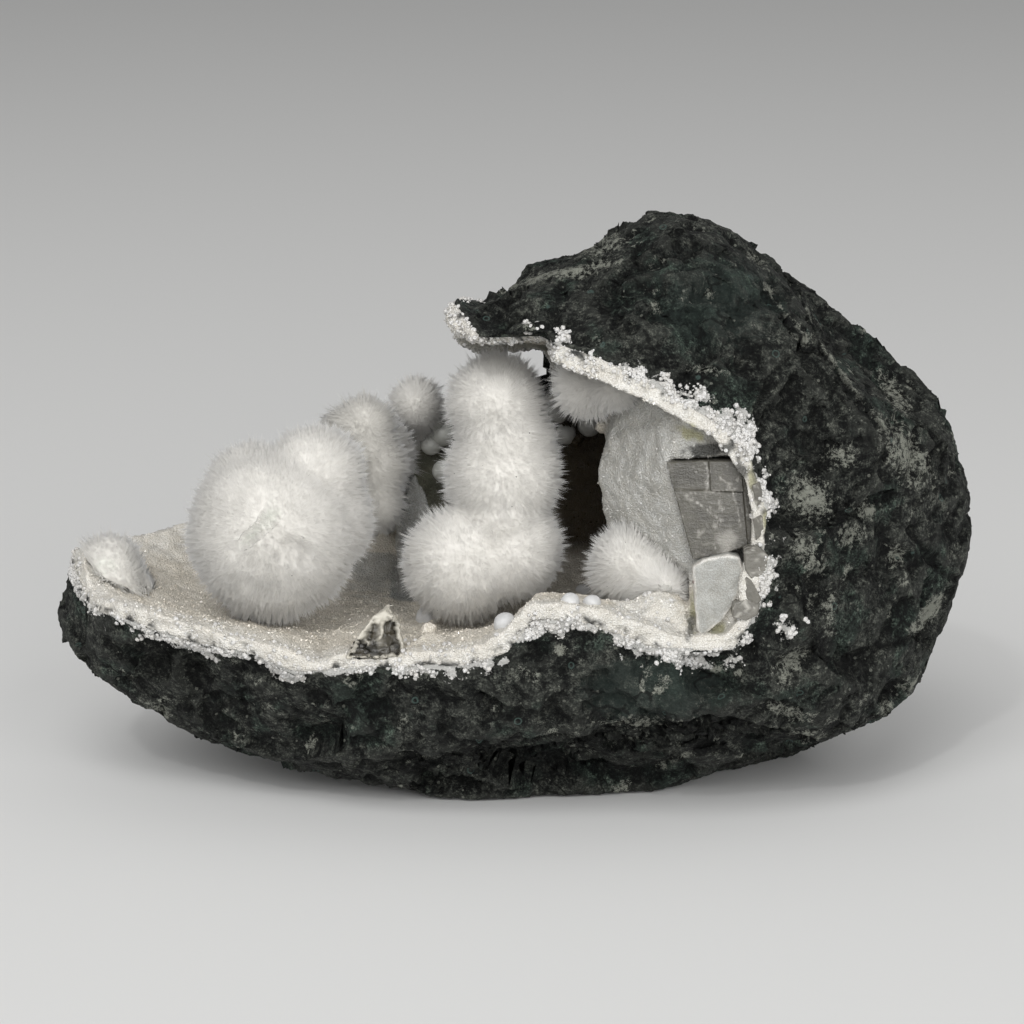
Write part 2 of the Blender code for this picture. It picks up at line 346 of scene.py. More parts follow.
def write_colours(obj: bpy.types.Object, name: str, colours: np.ndarray) -> None:
    """Stores one colour at each point of a mesh, for its material to read.

    Args:
        obj: The mesh.
        name: The name that the material reads.
        colours: One colour for each point.
    """
    attribute = obj.data.attributes.new(name, "FLOAT_COLOR", "POINT")
    whole = np.ones((len(colours), 4), dtype=np.float32)
    whole[:, :3] = colours
    attribute.data.foreach_set("color", whole.ravel())


def write_group(obj: bpy.types.Object, name: str, weights: np.ndarray) -> None:
    """Makes a vertex group of weights, one for each point, in even steps.

    Args:
        obj: The mesh.
        name: The group's name.
        weights: One weight for each point.
    """
    group = obj.vertex_groups.new(name=name)
    steps = np.round(np.clip(weights, 0, 1) * GROUP_STEPS).astype(int)
    for step in range(1, GROUP_STEPS + 1):
        numbers = np.nonzero(steps == step)[0]
        if len(numbers):
            group.add(numbers.tolist(), step / GROUP_STEPS, "REPLACE")


def noise_at(points: np.ndarray, size: float, seed: float = 0.0) -> np.ndarray:
    """Smooth noise from about -1 to 1.

    Args:
        points: Where to read it, one point to a row.
        size: The size of its lumps.
        seed: Shifts it to another part of the pattern.

    Returns:
        One number for each point.
    """
    return np.array([noise.noise(place) for place in (points / size + seed).tolist()])


def hollows(obj: bpy.types.Object, rounds: int = 12) -> np.ndarray:
    """How far each point of a mesh lies below the smoothed surface round it.

    Args:
        obj: The mesh.
        rounds: How often the surface is smoothed.

    Returns:
        One number for each point, less than 0 on ridges.
    """
    points = points_of(obj)
    edges = read_rows(obj.data.edges, "vertices", 2, np.int32)
    first, second = edges.T
    neighbours = np.maximum(np.bincount(edges.ravel(), minlength=len(points)), 1)
    smoothed = points.copy()
    for _ in range(rounds):
        for axis in range(3):
            along = smoothed[:, axis]
            total = np.bincount(first, along[second], len(points))
            total += np.bincount(second, along[first], len(points))
            smoothed[:, axis] = total / neighbours
    return ((smoothed - points) * normals_of(obj)).sum(axis=1)


def smooth_step(values: np.ndarray, start: float, end: float) -> np.ndarray:
    """0 at start and 1 at end, rising smoothly between them."""
    share = np.clip((values - start) / (end - start), 0, 1)
    return share * share * (3 - 2 * share)


def unit(vectors: np.ndarray) -> np.ndarray:
    """Rows of vectors, each made one long."""
    return vectors / np.maximum(np.linalg.norm(vectors, axis=1, keepdims=True), SMALLEST_LENGTH)


class Nearest:
    """Finds how far points are from the surface of a mesh."""

    def __init__(self, obj: bpy.types.Object, keep: np.ndarray | None = None) -> None:
        """Reads the mesh of an object, or the part of it whose points are all kept.

        Args:
            obj: The object.
            keep: True for each point to keep, or nothing to keep all.
        """
        triangles = triangles_of(obj)
        if keep is not None:
            triangles = triangles[keep[triangles].all(axis=1)]
        self.tree = BVHTree.FromPolygons(points_of(obj).tolist(), triangles.tolist())

    def distances(self, points: np.ndarray) -> np.ndarray:
        """The distance from each point to the surface."""
        return np.array([self.tree.find_nearest(place)[3] for place in points.tolist()])


def scatter_on(
    obj: bpy.types.Object, count: int, dice: np.random.Generator, weights: np.ndarray | None = None
) -> tuple[np.ndarray, np.ndarray]:
    """Places points at random on a mesh, evenly by area.

    Args:
        obj: The mesh.
        count: How many points.
        dice: The source of chance.
        weights: How likely the surface is to get points, one number for each point of the mesh.

    Returns:
        The places, and the normals there.
    """
    points, normals, triangles = points_of(obj), normals_of(obj), triangles_of(obj)
    first, second, third = (points[triangles[:, corner]] for corner in range(3))
    share = np.linalg.norm(np.cross(second - first, third - first), axis=1)
    if weights is not None:
        share = share * weights[triangles].mean(axis=1)
    chosen = dice.choice(len(triangles), size=count, p=share / share.sum())
    along, across = dice.random(count), dice.random(count)
    folded = along + across > 1
    along[folded], across[folded] = 1 - along[folded], 1 - across[folded]
    parts = np.stack([1 - along - across, along, across], axis=1)[:, :, None]
    corners = triangles[chosen]
    return (points[corners] * parts).sum(axis=1), unit((normals[corners] * parts).sum(axis=1))


@dataclass(frozen=True)
class Stencil:
    """A small closed shape, one long and one in radius, that is repeated many times."""

    points: np.ndarray
    triangles: np.ndarray

    @classmethod
    def of(cls, obj: bpy.types.Object) -> "Stencil":
        """Takes the shape of an object, in metres, and removes the object.

        Args:
            obj: The object.

        Returns:
            The stencil.
        """
        modify(obj, "TRIANGULATE")
        stencil = cls(points_of(obj) * MM, triangles_of(obj))
        bpy.data.objects.remove(obj, do_unlink=True)
        return stencil

    @classmethod
    def cone(cls, sides: int) -> "Stencil":
        """A pointed cone with its foot in the origin.

        Args:
            sides: How many sides it has.

        Returns:
            The stencil.
        """
        deselect_all()
        bpy.ops.mesh.primitive_cone_add(
            vertices=sides, radius1=1, radius2=0, depth=1, end_fill_type="NGON", location=(0, 0, 0.5)
        )
        obj = bpy.context.object
        apply_place(obj)
        return cls.of(obj)

    def repeat(
        self,
        name: str,
        places: np.ndarray,
        ways: np.ndarray,
        radii: np.ndarray,
        lengths: np.ndarray,
        turns: np.ndarray,
    ) -> bpy.types.Object:
        """Makes one joined mesh of many copies.

        Args:
            name: The new object's name.
            places: Where the foot of each copy stands.
            ways: Where each copy points.
            radii: The radius of each copy.
            lengths: The length of each copy.
            turns: How far each copy is turned round its own length, in radians.

        Returns:
            The new object.
        """
        aside = np.where(np.abs(ways[:, 2:3]) > 0.9, [[1.0, 0.0, 0.0]], [[0.0, 0.0, 1.0]])
        right = unit(np.cross(aside, ways))
        front = np.cross(ways, right)
        cosine, sine = np.cos(turns)[:, None], np.sin(turns)[:, None]
        right, front = right * cosine + front * sine, front * cosine - right * sine
        shape = self.points
        copies = (
            places[:, None, :]
            + shape[None, :, 0:1] * (right * radii[:, None])[:, None, :]
            + shape[None, :, 1:2] * (front * radii[:, None])[:, None, :]
            + shape[None, :, 2:3] * (ways * lengths[:, None])[:, None, :]
        )
        steps = np.arange(len(places))[:, None, None] * len(shape)
        triangles = self.triangles[None, :, :] + steps
        return new_mesh_object(name, copies.reshape(-1, 3), triangles.reshape(-1, 3))


# The photograph's view, and marks laid out in it.


@dataclass(frozen=True)
class PhotoView:
    """The camera at the photograph's viewing angle, and what its pixels are."""

    elevation: float = 12.0
    distance: float = 682.7
    target: Triple = (0.0, 0.0, 53.6)
    lens: float = 120.0
    sensor: float = 36.0
    size: int = 1024
    clip_end: float = 20.0

    def way(self) -> np.ndarray:
        """The way from the specimen to the camera."""
        angle = math.radians(self.elevation)
        return np.array([0.0, -math.cos(angle), math.sin(angle)])

    def pixels(self, points: np.ndarray) -> tuple[np.ndarray, np.ndarray]:
        """Where points show in the photograph, as pixels across and down.

        Args:
            points: The points, one to a row.

        Returns:
            The pixels across and down.
        """
        way = self.way()
        offset = points - (np.array(self.target) + way * self.distance)
        depth = -(offset @ way)
        up = np.cross(way, [1.0, 0.0, 0.0])
        zoom = self.lens / self.sensor * self.size
        across = self.size / 2 + offset[:, 0] / depth * zoom
        return across, self.size / 2 - (offset @ up) / depth * zoom

    def point_at(self, across: float, down: float, y: float) -> np.ndarray:
        """The place that shows at a pixel and lies at a depth y.

        Args:
            across: The pixel, from the left.
            down: The pixel, from the top.
            y: The depth.

        Returns:
            The place, in millimetres.
        """
        way = self.way()
        zoom = self.lens / self.sensor * self.size
        up = np.cross(way, [1.0, 0.0, 0.0])
        ray = np.array([1.0, 0.0, 0.0]) * ((across - self.size / 2) / zoom)
        ray = ray + up * ((self.size / 2 - down) / zoom) - way
        eye = np.array(self.target) + way * self.distance
        return eye + ray * ((y - eye[1]) / ray[1])

    def seen(self, form: "Nearest", across: float, down: float, lift: float = 0.0) -> np.ndarray:
        """The place on a surface that shows at a pixel.

        Args:
            form: The surface.
            across: The pixel, from the left.
            down: The pixel, from the top.
            lift: How far the place is moved from the surface towards the camera.

        Returns:
            The place, in millimetres.
        """
        eye = np.array(self.target) + self.way() * self.distance
        ray = self.point_at(across, down, 0.0) - eye
        ray /= np.linalg.norm(ray)
        hit = form.tree.ray_cast(eye.tolist(), ray.tolist())[0]
        place = np.array(hit) if hit is not None else self.point_at(across, down, 0.0)
        return place - ray * lift

    def scale_at(self, place: np.ndarray) -> float:
        """How many pixels a millimetre takes at a place."""
        depth = self.distance - (place - np.array(self.target)) @ self.way()
        return self.lens / self.sensor * self.size / depth

    def build(self) -> None:
        """Adds the camera to the scene."""
        place = (np.array(self.target) + self.way() * self.distance) * MM
        turn = (math.radians(90 - self.elevation), 0.0, 0.0)
        bpy.ops.object.camera_add(location=place.tolist(), rotation=turn)
        camera = bpy.context.object
        camera.name = "photo_camera"
        camera.data.lens = self.lens
        camera.data.sensor_width = self.sensor
        camera.data.clip_end = self.clip_end
        bpy.context.scene.camera = camera


@dataclass(frozen=True)
class Spot:
    """An oval area of the front: its middle, half sizes and turn in the photograph's pixels."""

    across: float
    down: float
    wide: float
    high: float
    turn: float = 0.0
    strength: float = 1.0

    def share(self, across: np.ndarray, down: np.ndarray) -> np.ndarray:
        """1 in its middle, 0 at its edge and less than 0 outside it.

        Args:
            across: The pixels, from the left.
            down: The pixels, from the top.

        Returns:
            One number for each pixel.
        """
        angle = math.radians(self.turn)
        right, below = across - self.across, down - self.down
        long = (right * math.cos(angle) + below * math.sin(angle)) / self.wide
        short = (below * math.cos(angle) - right * math.sin(angle)) / self.high
        return self.strength * (1 - np.hypot(long, short))


def deepest(spots: tuple[Spot, ...], across: np.ndarray, down: np.ndarray) -> np.ndarray:
    """How deep each pixel lies in the nearest of several spots, and -1 far from all."""
    shares = [spot.share(across, down) for spot in spots]
    return np.maximum(np.max(shares, axis=0), -1)


def path_distance(path: Line, across: np.ndarray, down: np.ndarray) -> np.ndarray:
    """How many pixels each pixel lies from a path.

    Args:
        path: The corners of the path, in pixels.
        across: The pixels, from the left.
        down: The pixels, from the top.

    Returns:
        One distance for each pixel.
    """
    nearest = np.full(len(across), FARTHEST)
    for (x0, y0), (x1, y1) in zip(path, path[1:]):
        run = np.array([x1 - x0, y1 - y0])
        share = ((across - x0) * run[0] + (down - y0) * run[1]) / (run @ run)
        share = np.clip(share, 0, 1)
        gap = np.hypot(across - x0 - share * run[0], down - y0 - share * run[1])
        nearest = np.minimum(nearest, gap)
    return nearest


VIEW = PhotoView()

# Materials.


class Wiring:
    """Adds nodes to one node tree and links them."""

    def __init__(self, tree: bpy.types.NodeTree) -> None:
        """Takes the tree to work in."""
        self.tree = tree

    def node(self, kind: str, **settings: object) -> bpy.types.Node:
        """Adds a node and sets its properties.

        Args:
            kind: Blender's name for the node.
            **settings: The node's properties.

        Returns:
            The node.
        """
        node = self.tree.nodes.new(kind)
        for key, value in settings.items():
            setattr(node, key, value)
        return node

    def put(self, socket: bpy.types.NodeSocket, value: object) -> None:
        """Links a socket into another, or sets a plain value on it.

        Args:
            socket: The input.
            value: The output to link, or the value.
        """
        if isinstance(value, bpy.types.NodeSocket):
            self.tree.links.new(value, socket)
        elif isinstance(value, tuple) and len(value) == 3 and socket.type == "RGBA":
            socket.default_value = (*value, 1.0)
        else:
            socket.default_value = value

    def place(self) -> bpy.types.NodeSocket:
        """The place on the piece, in metres."""
        return self.node("ShaderNodeTexCoord").outputs["Object"]

    def value(self, name: str) -> bpy.types.NodeSocket:
        """A number stored on the mesh."""
        return self.node("ShaderNodeAttribute", attribute_name=name).outputs["Fac"]

    def colour(self, name: str) -> bpy.types.NodeSocket:
        """A colour stored on the mesh."""
        return self.node("ShaderNodeAttribute", attribute_name=name).outputs["Color"]

    def put_all(self, node: bpy.types.Node, values: dict[str, object]) -> None:
        """Puts a value into each of a node's inputs that are named."""
        for name, value in values.items():
            self.put(node.inputs[name], value)

    def math(self, operation: str, first: object, second: object) -> bpy.types.NodeSocket:
        """One step of arithmetic.

        Args:
            operation: Blender's name for the step.
            first: The first number.
            second: The second number.

        Returns:
            The result.
        """
        node = self.node("ShaderNodeMath", operation=operation)
        self.put(node.inputs[0], first)
        self.put(node.inputs[1], second)
        return node.outputs[0]

    def times(self, first: object, second: object) -> bpy.types.NodeSocket:
        """The product of two numbers."""
        return self.math("MULTIPLY", first, second)

    def plus(self, first: object, second: object) -> bpy.types.NodeSocket:
        """The sum of two numbers."""
        return self.math("ADD", first, second)

    def clouds(self, place: object, size: float, detail: float = 3.0, rough: float = 0.55) -> object:
        """Noise with lumps of a size, from 0 to 1.

        Args:
            place: Where to read it.
            size: The size of its lumps.
            detail: How many finer layers it has.
            rough: How strong the finer layers are.

        Returns:
            The noise.
        """
        node = self.node("ShaderNodeTexNoise")
        self.put(node.inputs["Vector"], place)
        self.put(node.inputs["Scale"], 1 / (size * MM))
        self.put(node.inputs["Detail"], detail)
        self.put(node.inputs["Roughness"], rough)
        return node.outputs["Fac"]

    def cells(self, place: object, size: float, feature: str = "F1") -> bpy.types.Node:
        """Voronoi cells of a size.

        Args:
            place: Where to read them.
            size: The size of a cell.
            feature: Blender's name for what is measured.

        Returns:
            The node.
        """
        node = self.node("ShaderNodeTexVoronoi", feature=feature)
        self.put(node.inputs["Vector"], place)
        self.put(node.inputs["Scale"], 1 / (size * MM))
        return node

    def between(self, value: object, start: float, end: float) -> bpy.types.NodeSocket:
        """0 below start and 1 above end, rising smoothly between them.

        Args:
            value: The number to read.
            start: Where the result is 0.
            end: Where the result is 1.

        Returns:
            The result.
        """
        node = self.node("ShaderNodeMapRange", interpolation_type="SMOOTHSTEP")
        self.put(node.inputs["Value"], value)
        low, high = (start, end) if start < end else (end, start)
        self.put(node.inputs["From Min"], low)
        self.put(node.inputs["From Max"], high)
        self.put(node.inputs["To Min"], 0.0 if start < end else 1.0)
        self.put(node.inputs["To Max"], 1.0 if start < end else 0.0)
        return node.outputs["Result"]

    def mix(self, share: object, first: object, second: object, blend: str = "MIX") -> object:
        """Blends two colours.

        Args:
            share: How much of the second colour shows.
            first: The first colour.
            second: The second colour.
            blend: Blender's name for the way of blending.

        Returns:
            The colour.
        """
        node = self.node("ShaderNodeMix", data_type="RGBA", blend_type=blend)
        self.put(node.inputs["Factor"], share)
        self.put(node.inputs[6], first)
        self.put(node.inputs[7], second)
        return node.outputs[2]

    def tint(self, first: object, second: object) -> object:
        """One colour multiplied by another."""
        return self.mix(1.0, first, second, "MULTIPLY")

    def bump(self, height: object, depth: float) -> object:
        """A normal moved by a height, with the depth in millimetres.

        Args:
            height: The height.
            depth: How deep the relief seems.

        Returns:
            The normal.
        """
        node = self.node("ShaderNodeBump")
        self.put_all(node, {"Strength": 1.0, "Distance": depth * MM, "Height": height})
        return node.outputs["Normal"]


def new_material(name: str) -> tuple[bpy.types.Material, Wiring, bpy.types.Node]:
    """Makes a material and returns it with its wiring and its shader.

    Args:
        name: The material's name.

    Returns:
        The material, its wiring and its shader.
    """
    material = bpy.data.materials.new(name)
    material.use_nodes = True
    shader = material.node_tree.nodes["Principled BSDF"]
    return material, Wiring(material.node_tree), shader


def group_of(name: str, outputs: dict[str, str], inputs: dict[str, float]) -> tuple[object, object, object]:
    """Starts a shader node group.

    Args:
        name: The group's name.
        outputs: The kind of each output socket by its name.
        inputs: The plain value of each input socket by its name.

    Returns:
        The group, its wiring, and its input node. Its output node is named "out".
    """
    tree = bpy.data.node_groups.new(name, "ShaderNodeTree")
    for key, value in inputs.items():
        socket = tree.interface.new_socket(key, in_out="INPUT", socket_type="NodeSocketFloat")
        socket.default_value = value
    for key, kind in outputs.items():
        tree.interface.new_socket(key, in_out="OUTPUT", socket_type=kind)
    wiring = Wiring(tree)
    entry = wiring.node("NodeGroupInput")
    wiring.node("NodeGroupOutput", name="out")
    return tree, wiring, entry


def sugar_group() -> bpy.types.NodeTree:
    """The grain of a druse: small crystal facets, and the shade between them.

    Returns:
        The node group.
    """
    outputs = {"Height": "NodeSocketFloat", "Shade": "NodeSocketFloat"}
    tree, wiring, entry = group_of("sugar_grain", outputs, {"Per metre": 1600.0})
    place = wiring.place()
    heights = []
    for share in (1.0, 2.3):
        cell = wiring.node("ShaderNodeTexVoronoi", feature="F1")
        wiring.put(cell.inputs["Vector"], place)
        wiring.put(cell.inputs["Scale"], wiring.times(entry.outputs["Per metre"], share))
        heights.append(wiring.math("SUBTRACT", 1.0, cell.outputs["Distance"]))
    height = wiring.plus(heights[0], wiring.times(heights[1], 0.4))
    out = tree.nodes["out"]
    wiring.put(out.inputs["Height"], height)
    wiring.put(out.inputs["Shade"], wiring.between(height, 0.45, 1.05))
    return tree


def dust_group() -> bpy.types.NodeTree:
    """Sparse small specks on a surface, as a mask.

    Returns:
        The node group.
    """
    tree, wiring, entry = group_of(
        "dust_specks", {"Mask": "NodeSocketFloat"}, {"Per metre": 400.0, "Size": 0.12, "Share": 0.2}
    )
    cell = wiring.node("ShaderNodeTexVoronoi", feature="F1")
    wiring.put(cell.inputs["Vector"], wiring.place())
    wiring.put(cell.inputs["Scale"], entry.outputs["Per metre"])
    near = wiring.math("LESS_THAN", cell.outputs["Distance"], entry.outputs["Size"])
    parts = wiring.node("ShaderNodeSeparateColor")
    wiring.put(parts.inputs[0], cell.outputs["Color"])
    chosen = wiring.math("LESS_THAN", parts.outputs[0], entry.outputs["Share"])
    wiring.put(tree.nodes["out"].inputs["Mask"], wiring.times(near, chosen))
    return tree


class Effects:
    """The node groups that several finishes share, each built once."""

    def __init__(self) -> None:
        """Builds the groups."""
        self.sugar = sugar_group()
        self.dust = dust_group()

    @staticmethod
    def add(wiring: Wiring, tree: bpy.types.NodeTree, **values: float) -> bpy.types.Node:
        """Places a group in a material with its own values.

        Args:
            wiring: The material's wiring.
            tree: The group.
            **values: The values of the group's inputs.

        Returns:
            The group's node.
        """
        node = wiring.node("ShaderNodeGroup", node_tree=tree)
        for key, value in values.items():
            node.inputs[key.replace("_", " ").capitalize()].default_value = value
        return node


@dataclass(frozen=True)
class BasaltFinish:
    """Dark basalt with pale minerals: a white coating, pale patches and veins, and green rings."""

    black: Colour = (0.003, 0.0034, 0.0032)
    dark: Colour = (0.016, 0.018, 0.0162)
    mid: Colour = (0.044, 0.0475, 0.042)
    light: Colour = (0.125, 0.131, 0.113)
    shade_steps: tuple[tuple[float, float], ...] = ((0.450, 0.490), (0.485, 0.530), (0.525, 0.580))
    fine_share: float = 0.72
    broad_share: float = 0.28
    speckle_low: Colour = (0.45, 0.45, 0.45)
    speckle_high: Colour = (1.75, 1.75, 1.7)
    # How strongly painted light lightens the ridges and painted shade darkens the hollows.
    ridge_painted_light_share: float = 0.18
    hollow_painted_shade_share: float = 0.55
    green: Colour = (0.76, 1.08, 0.99)
    green_share: float = 0.7
    teal: Colour = (0.040, 0.058, 0.050)
    teal_share: float = 0.5
    speck_share: float = 0.45
    ring: Colour = (0.11, 0.17, 0.15)
    pale: Colour = (0.36, 0.37, 0.315)
    white: Colour = (0.80, 0.79, 0.755)
    crack_share: float = 0.8
    smoothest: float = 0.55
    roughness_range: float = 0.3
    specular: float = 0.22
    relief: float = 1.7

    def material(self, effects: Effects) -> bpy.types.Material:
        """Builds the material.

        Args:
            effects: The shared node groups.

        Returns:
            The material.
        """
        material, wiring, shader = new_material("basalt_rock")
        place = wiring.place()
        salt = wiring.clouds(place, 0.38, 2, 0.6)
        fine = wiring.clouds(place, 1.35, 9, 0.84)
        grain = wiring.clouds(place, 1.3, 5, 0.7)
        lace = wiring.clouds(place, 1.1, 6, 0.8)
        rock = self.stone(wiring, place, fine, salt)
        teal = wiring.between(wiring.plus(wiring.value("teal"), grain), 0.50, 0.95)
        rock = wiring.mix(wiring.times(teal, self.teal_share), rock, self.teal)
        rock = wiring.mix(self.seams(wiring, place), rock, self.black)
        specks = effects.add(wiring, effects.dust, per_metre=620.0, size=0.2, share=0.10)
        rock = wiring.mix(wiring.times(specks.outputs[0], self.speck_share), rock, self.pale)
        rock = wiring.mix(self.rings(wiring, place), rock, self.ring)
        rock = self.minerals(wiring, rock, fine, lace)
        rough = wiring.times(wiring.between(grain, 0.3, 0.7), self.roughness_range)
        relief = wiring.plus(lace, wiring.times(wiring.clouds(place, 2.6, 4, 0.7), 1.2))
        relief = wiring.plus(relief, wiring.times(salt, 0.3))
        looks = {
            "Base Color": rock,
            "Roughness": wiring.plus(rough, self.smoothest),
            "Specular IOR Level": self.specular,
            "Normal": wiring.bump(relief, self.relief),
        }
        wiring.put_all(shader, looks)
        return material

    def stone(self, wiring: Wiring, place: object, fine: object, salt: object) -> object:
        """The bare stone: four shades of grey, with painted shade in its hollows and painted light on its
        ridges, and greenish zones.

        Args:
            wiring: The material's wiring.
            place: The place on the piece.
            fine: The noise that gives the shades.
            salt: The finest noise, which speckles them.

        Returns:
            The colour.
        """
        broad = wiring.clouds(place, 7.0, 8, 0.75)
        shade = wiring.plus(wiring.times(fine, self.fine_share), wiring.times(broad, self.broad_share))
        rock = self.black
        for (start, end), tone in zip(self.shade_steps, (self.dark, self.mid, self.light)):
            rock = wiring.mix(wiring.between(shade, start, end), rock, tone)
        speckle = wiring.mix(wiring.between(salt, 0.38, 0.64), self.speckle_low, self.speckle_high)
        rock = wiring.tint(rock, speckle)
        # Painted light and shade: the ridges are lightened and the hollows darkened.
        hollow = wiring.value("hollow")
        ridge = wiring.times(wiring.between(hollow, -0.06, -0.34), self.ridge_painted_light_share)
        rock = wiring.mix(ridge, rock, self.light)
        painted_hollow_shade = wiring.times(wiring.between(hollow, 0.06, 0.45), self.hollow_painted_shade_share)
        rock = wiring.mix(painted_hollow_shade, rock, self.black)
        zone = wiring.between(wiring.clouds(place, 12.0, 4, 0.6), 0.50, 0.62)
        return wiring.mix(wiring.times(zone, self.green_share), rock, wiring.tint(rock, self.green))

    def minerals(self, wiring: Wiring, rock: object, fine: object, lace: object) -> object:
        """Adds the pale patches, the white coating and the dark cracks.

        Args:
            wiring: The material's wiring.
            rock: The colour of the rock below them.
            fine: The noise that breaks the patches up.
            lace: The noise that frays their edges.

        Returns:
            The colour.
        """
        pale = wiring.plus(wiring.value("pale"), wiring.times(lace, 3.0))
        broken = wiring.math("MAXIMUM", wiring.between(fine, 0.47, 0.53), wiring.between(pale, 2.2, 2.5))
        rock = wiring.mix(wiring.times(wiring.between(pale, 1.72, 1.95), broken), rock, self.pale)
        coat = wiring.plus(wiring.value("coat"), wiring.times(lace, 1.6))
        rock = wiring.mix(wiring.between(coat, 0.92, 1.02), rock, self.white)
        return wiring.mix(wiring.times(wiring.value("crack"), self.crack_share), rock, self.black)

    @staticmethod
    def seams(wiring: Wiring, place: object) -> bpy.types.NodeSocket:
        """Dark, broken seams between the blocks of the rock.

        Args:
            wiring: The material's wiring.
            place: The place on the piece.

        Returns:
            How strongly they show.
        """
        bend = wiring.node("ShaderNodeTexNoise")
        wiring.put(bend.inputs["Vector"], place)
        wiring.put(bend.inputs["Scale"], 180.0)
        shift = wiring.node("ShaderNodeVectorMath", operation="SCALE")
        wiring.put(shift.inputs[0], bend.outputs["Color"])
        shift.inputs["Scale"].default_value = 0.007
        bent = wiring.node("ShaderNodeVectorMath", operation="ADD")
        wiring.put(bent.inputs[0], place)
        wiring.put(bent.inputs[1], shift.outputs[0])
        cell = wiring.cells(bent.outputs[0], 9.0, "DISTANCE_TO_EDGE")
        seam = wiring.between(cell.outputs["Distance"], 0.055, 0.015)
        part = wiring.between(wiring.clouds(place, 8.0, 2), 0.48, 0.58)
        return wiring.times(wiring.times(seam, part), 0.75)

    @staticmethod
    def rings(wiring: Wiring, place: object) -> bpy.types.NodeSocket:
        """Small filled bubbles of the rock, which show as pale rings.

        Args:
            wiring: The material's wiring.
            place: The place on the piece.

        Returns:
            How strongly they show.
        """
        cell = wiring.cells(place, 3.6)
        distance = cell.outputs["Distance"]
        inner = wiring.between(distance, 0.13, 0.17)
        outer = wiring.between(distance, 0.24, 0.19)
        parts = wiring.node("ShaderNodeSeparateColor")
        wiring.put(parts.inputs[0], cell.outputs["Color"])
        chosen = wiring.math("LESS_THAN", parts.outputs[1], 0.10)
        ring = wiring.times(wiring.times(inner, outer), chosen)
        return wiring.times(ring, 0.6)


@dataclass(frozen=True)
class DruseFinish:
    """Sugary quartz, coloured by the tint stored on each piece."""

    name: str = "quartz_druse"
    grain: float = 0.36
    relief: float = 0.26
    roughness: float = 0.32
    specular: float = 0.5
    # Painted shade in the crevices between the grains.
    painted_shade_between_grains: Colour = (0.78, 0.765, 0.735)
    patches: Colour = (0.90, 0.885, 0.86)

    def material(self, effects: Effects) -> bpy.types.Material:
        """Builds the material.

        Args:
            effects: The shared node groups.

        Returns:
            The material.
        """
        material, wiring, shader = new_material(self.name)
        place = wiring.place()
        sugar = effects.add(wiring, effects.sugar, per_metre=1 / (self.grain * MM))
        tint = wiring.colour("tint")
        # Painted shade darkens the colour between the grains; the broad patches vary at random.
        shade = wiring.mix(sugar.outputs["Shade"], self.painted_shade_between_grains, PLAIN)
        broad = wiring.between(wiring.clouds(place, 3.0, 3), 0.3, 0.7)
        shade = wiring.tint(shade, wiring.mix(broad, self.patches, PLAIN))
        looks = {
            "Base Color": wiring.tint(tint, shade),
            "Roughness": self.roughness,
            "Specular IOR Level": self.specular,
            "Normal": wiring.bump(sugar.outputs["Height"], self.relief),
        }
        wiring.put_all(shader, looks)
        return material


@dataclass(frozen=True)
class BeadFinish:
    """Smooth milky quartz."""

    cloud: Colour = (0.86, 0.86, 0.85)
    roughness: float = 0.38
    relief: float = 0.08

    def material(self) -> bpy.types.Material:
        """Builds the material.

        Returns:
            The material.
        """
        material, wiring, shader = new_material("quartz_beads")
        place = wiring.place()
        clear = wiring.between(wiring.clouds(place, 1.8, 3), 0.3, 0.7)
        looks = {
            "Base Color": wiring.tint(wiring.colour("tint"), wiring.mix(clear, self.cloud, PLAIN)),
            "Roughness": self.roughness,
            "Normal": wiring.bump(wiring.clouds(place, 0.35, 3, 0.6), self.relief),
        }
        wiring.put_all(shader, looks)
        return material


@dataclass(frozen=True)
class OkeniteFinish:
    """Brilliant white fibres, a little greyer at their feet as painted shade, dimmer as painted shade where
    a whole ball lies in shade, and greenish where they are worn.
    """

    # The foot colour is painted shade deep among the fibres.
    foot: Colour = (0.72, 0.70, 0.655)
    tip: Colour = (0.80, 0.78, 0.74)
    worn: Colour = (0.69, 0.71, 0.635)
    pit: Colour = (0.55, 0.565, 0.50)
    patches: Colour = (0.93, 0.93, 0.925)
    # The dim colour serves a random tone and painted shade over whole balls.
    dim: Colour = (0.72, 0.715, 0.70)
    dust: Colour = (0.10, 0.09, 0.08)
    worn_share: float = 0.6
    roughness: float = 0.55
    sheen: float = 0.7
    sheen_roughness: float = 0.5

    def material(self, effects: Effects) -> bpy.types.Material:
        """Builds the material.

        Args:
            effects: The shared node groups.

        Returns:
            The material.
        """
        material, wiring, shader = new_material("okenite_fibre")
        place = wiring.place()
        # Painted shade: the fibres are greyer towards their feet.
        colour = wiring.mix(wiring.value("tip"), self.foot, self.tip)
        broad = wiring.between(wiring.clouds(place, 4.0, 3), 0.35, 0.7)
        colour = wiring.mix(broad, colour, wiring.tint(colour, self.patches))
        # The tone mixes a random tone of each fibre and tuft with painted shade over whole balls.
        colour = wiring.tint(colour, wiring.mix(wiring.value("tone"), self.dim, PLAIN))
        spared = wiring.between(wiring.clouds(place, 0.8, 3), 0.36, 0.50)
        pitted = wiring.mix(spared, self.pit, self.worn)
        colour = wiring.mix(wiring.times(wiring.value("wear"), self.worn_share), colour, pitted)
        dust = effects.add(wiring, effects.dust, per_metre=330.0, size=0.05, share=0.3)
        looks = {
            "Base Color": wiring.mix(dust.outputs["Mask"], colour, self.dust),
            "Roughness": self.roughness,
            "Sheen Weight": self.sheen,
            "Sheen Roughness": self.sheen_roughness,
        }
        wiring.put_all(shader, looks)
        return material


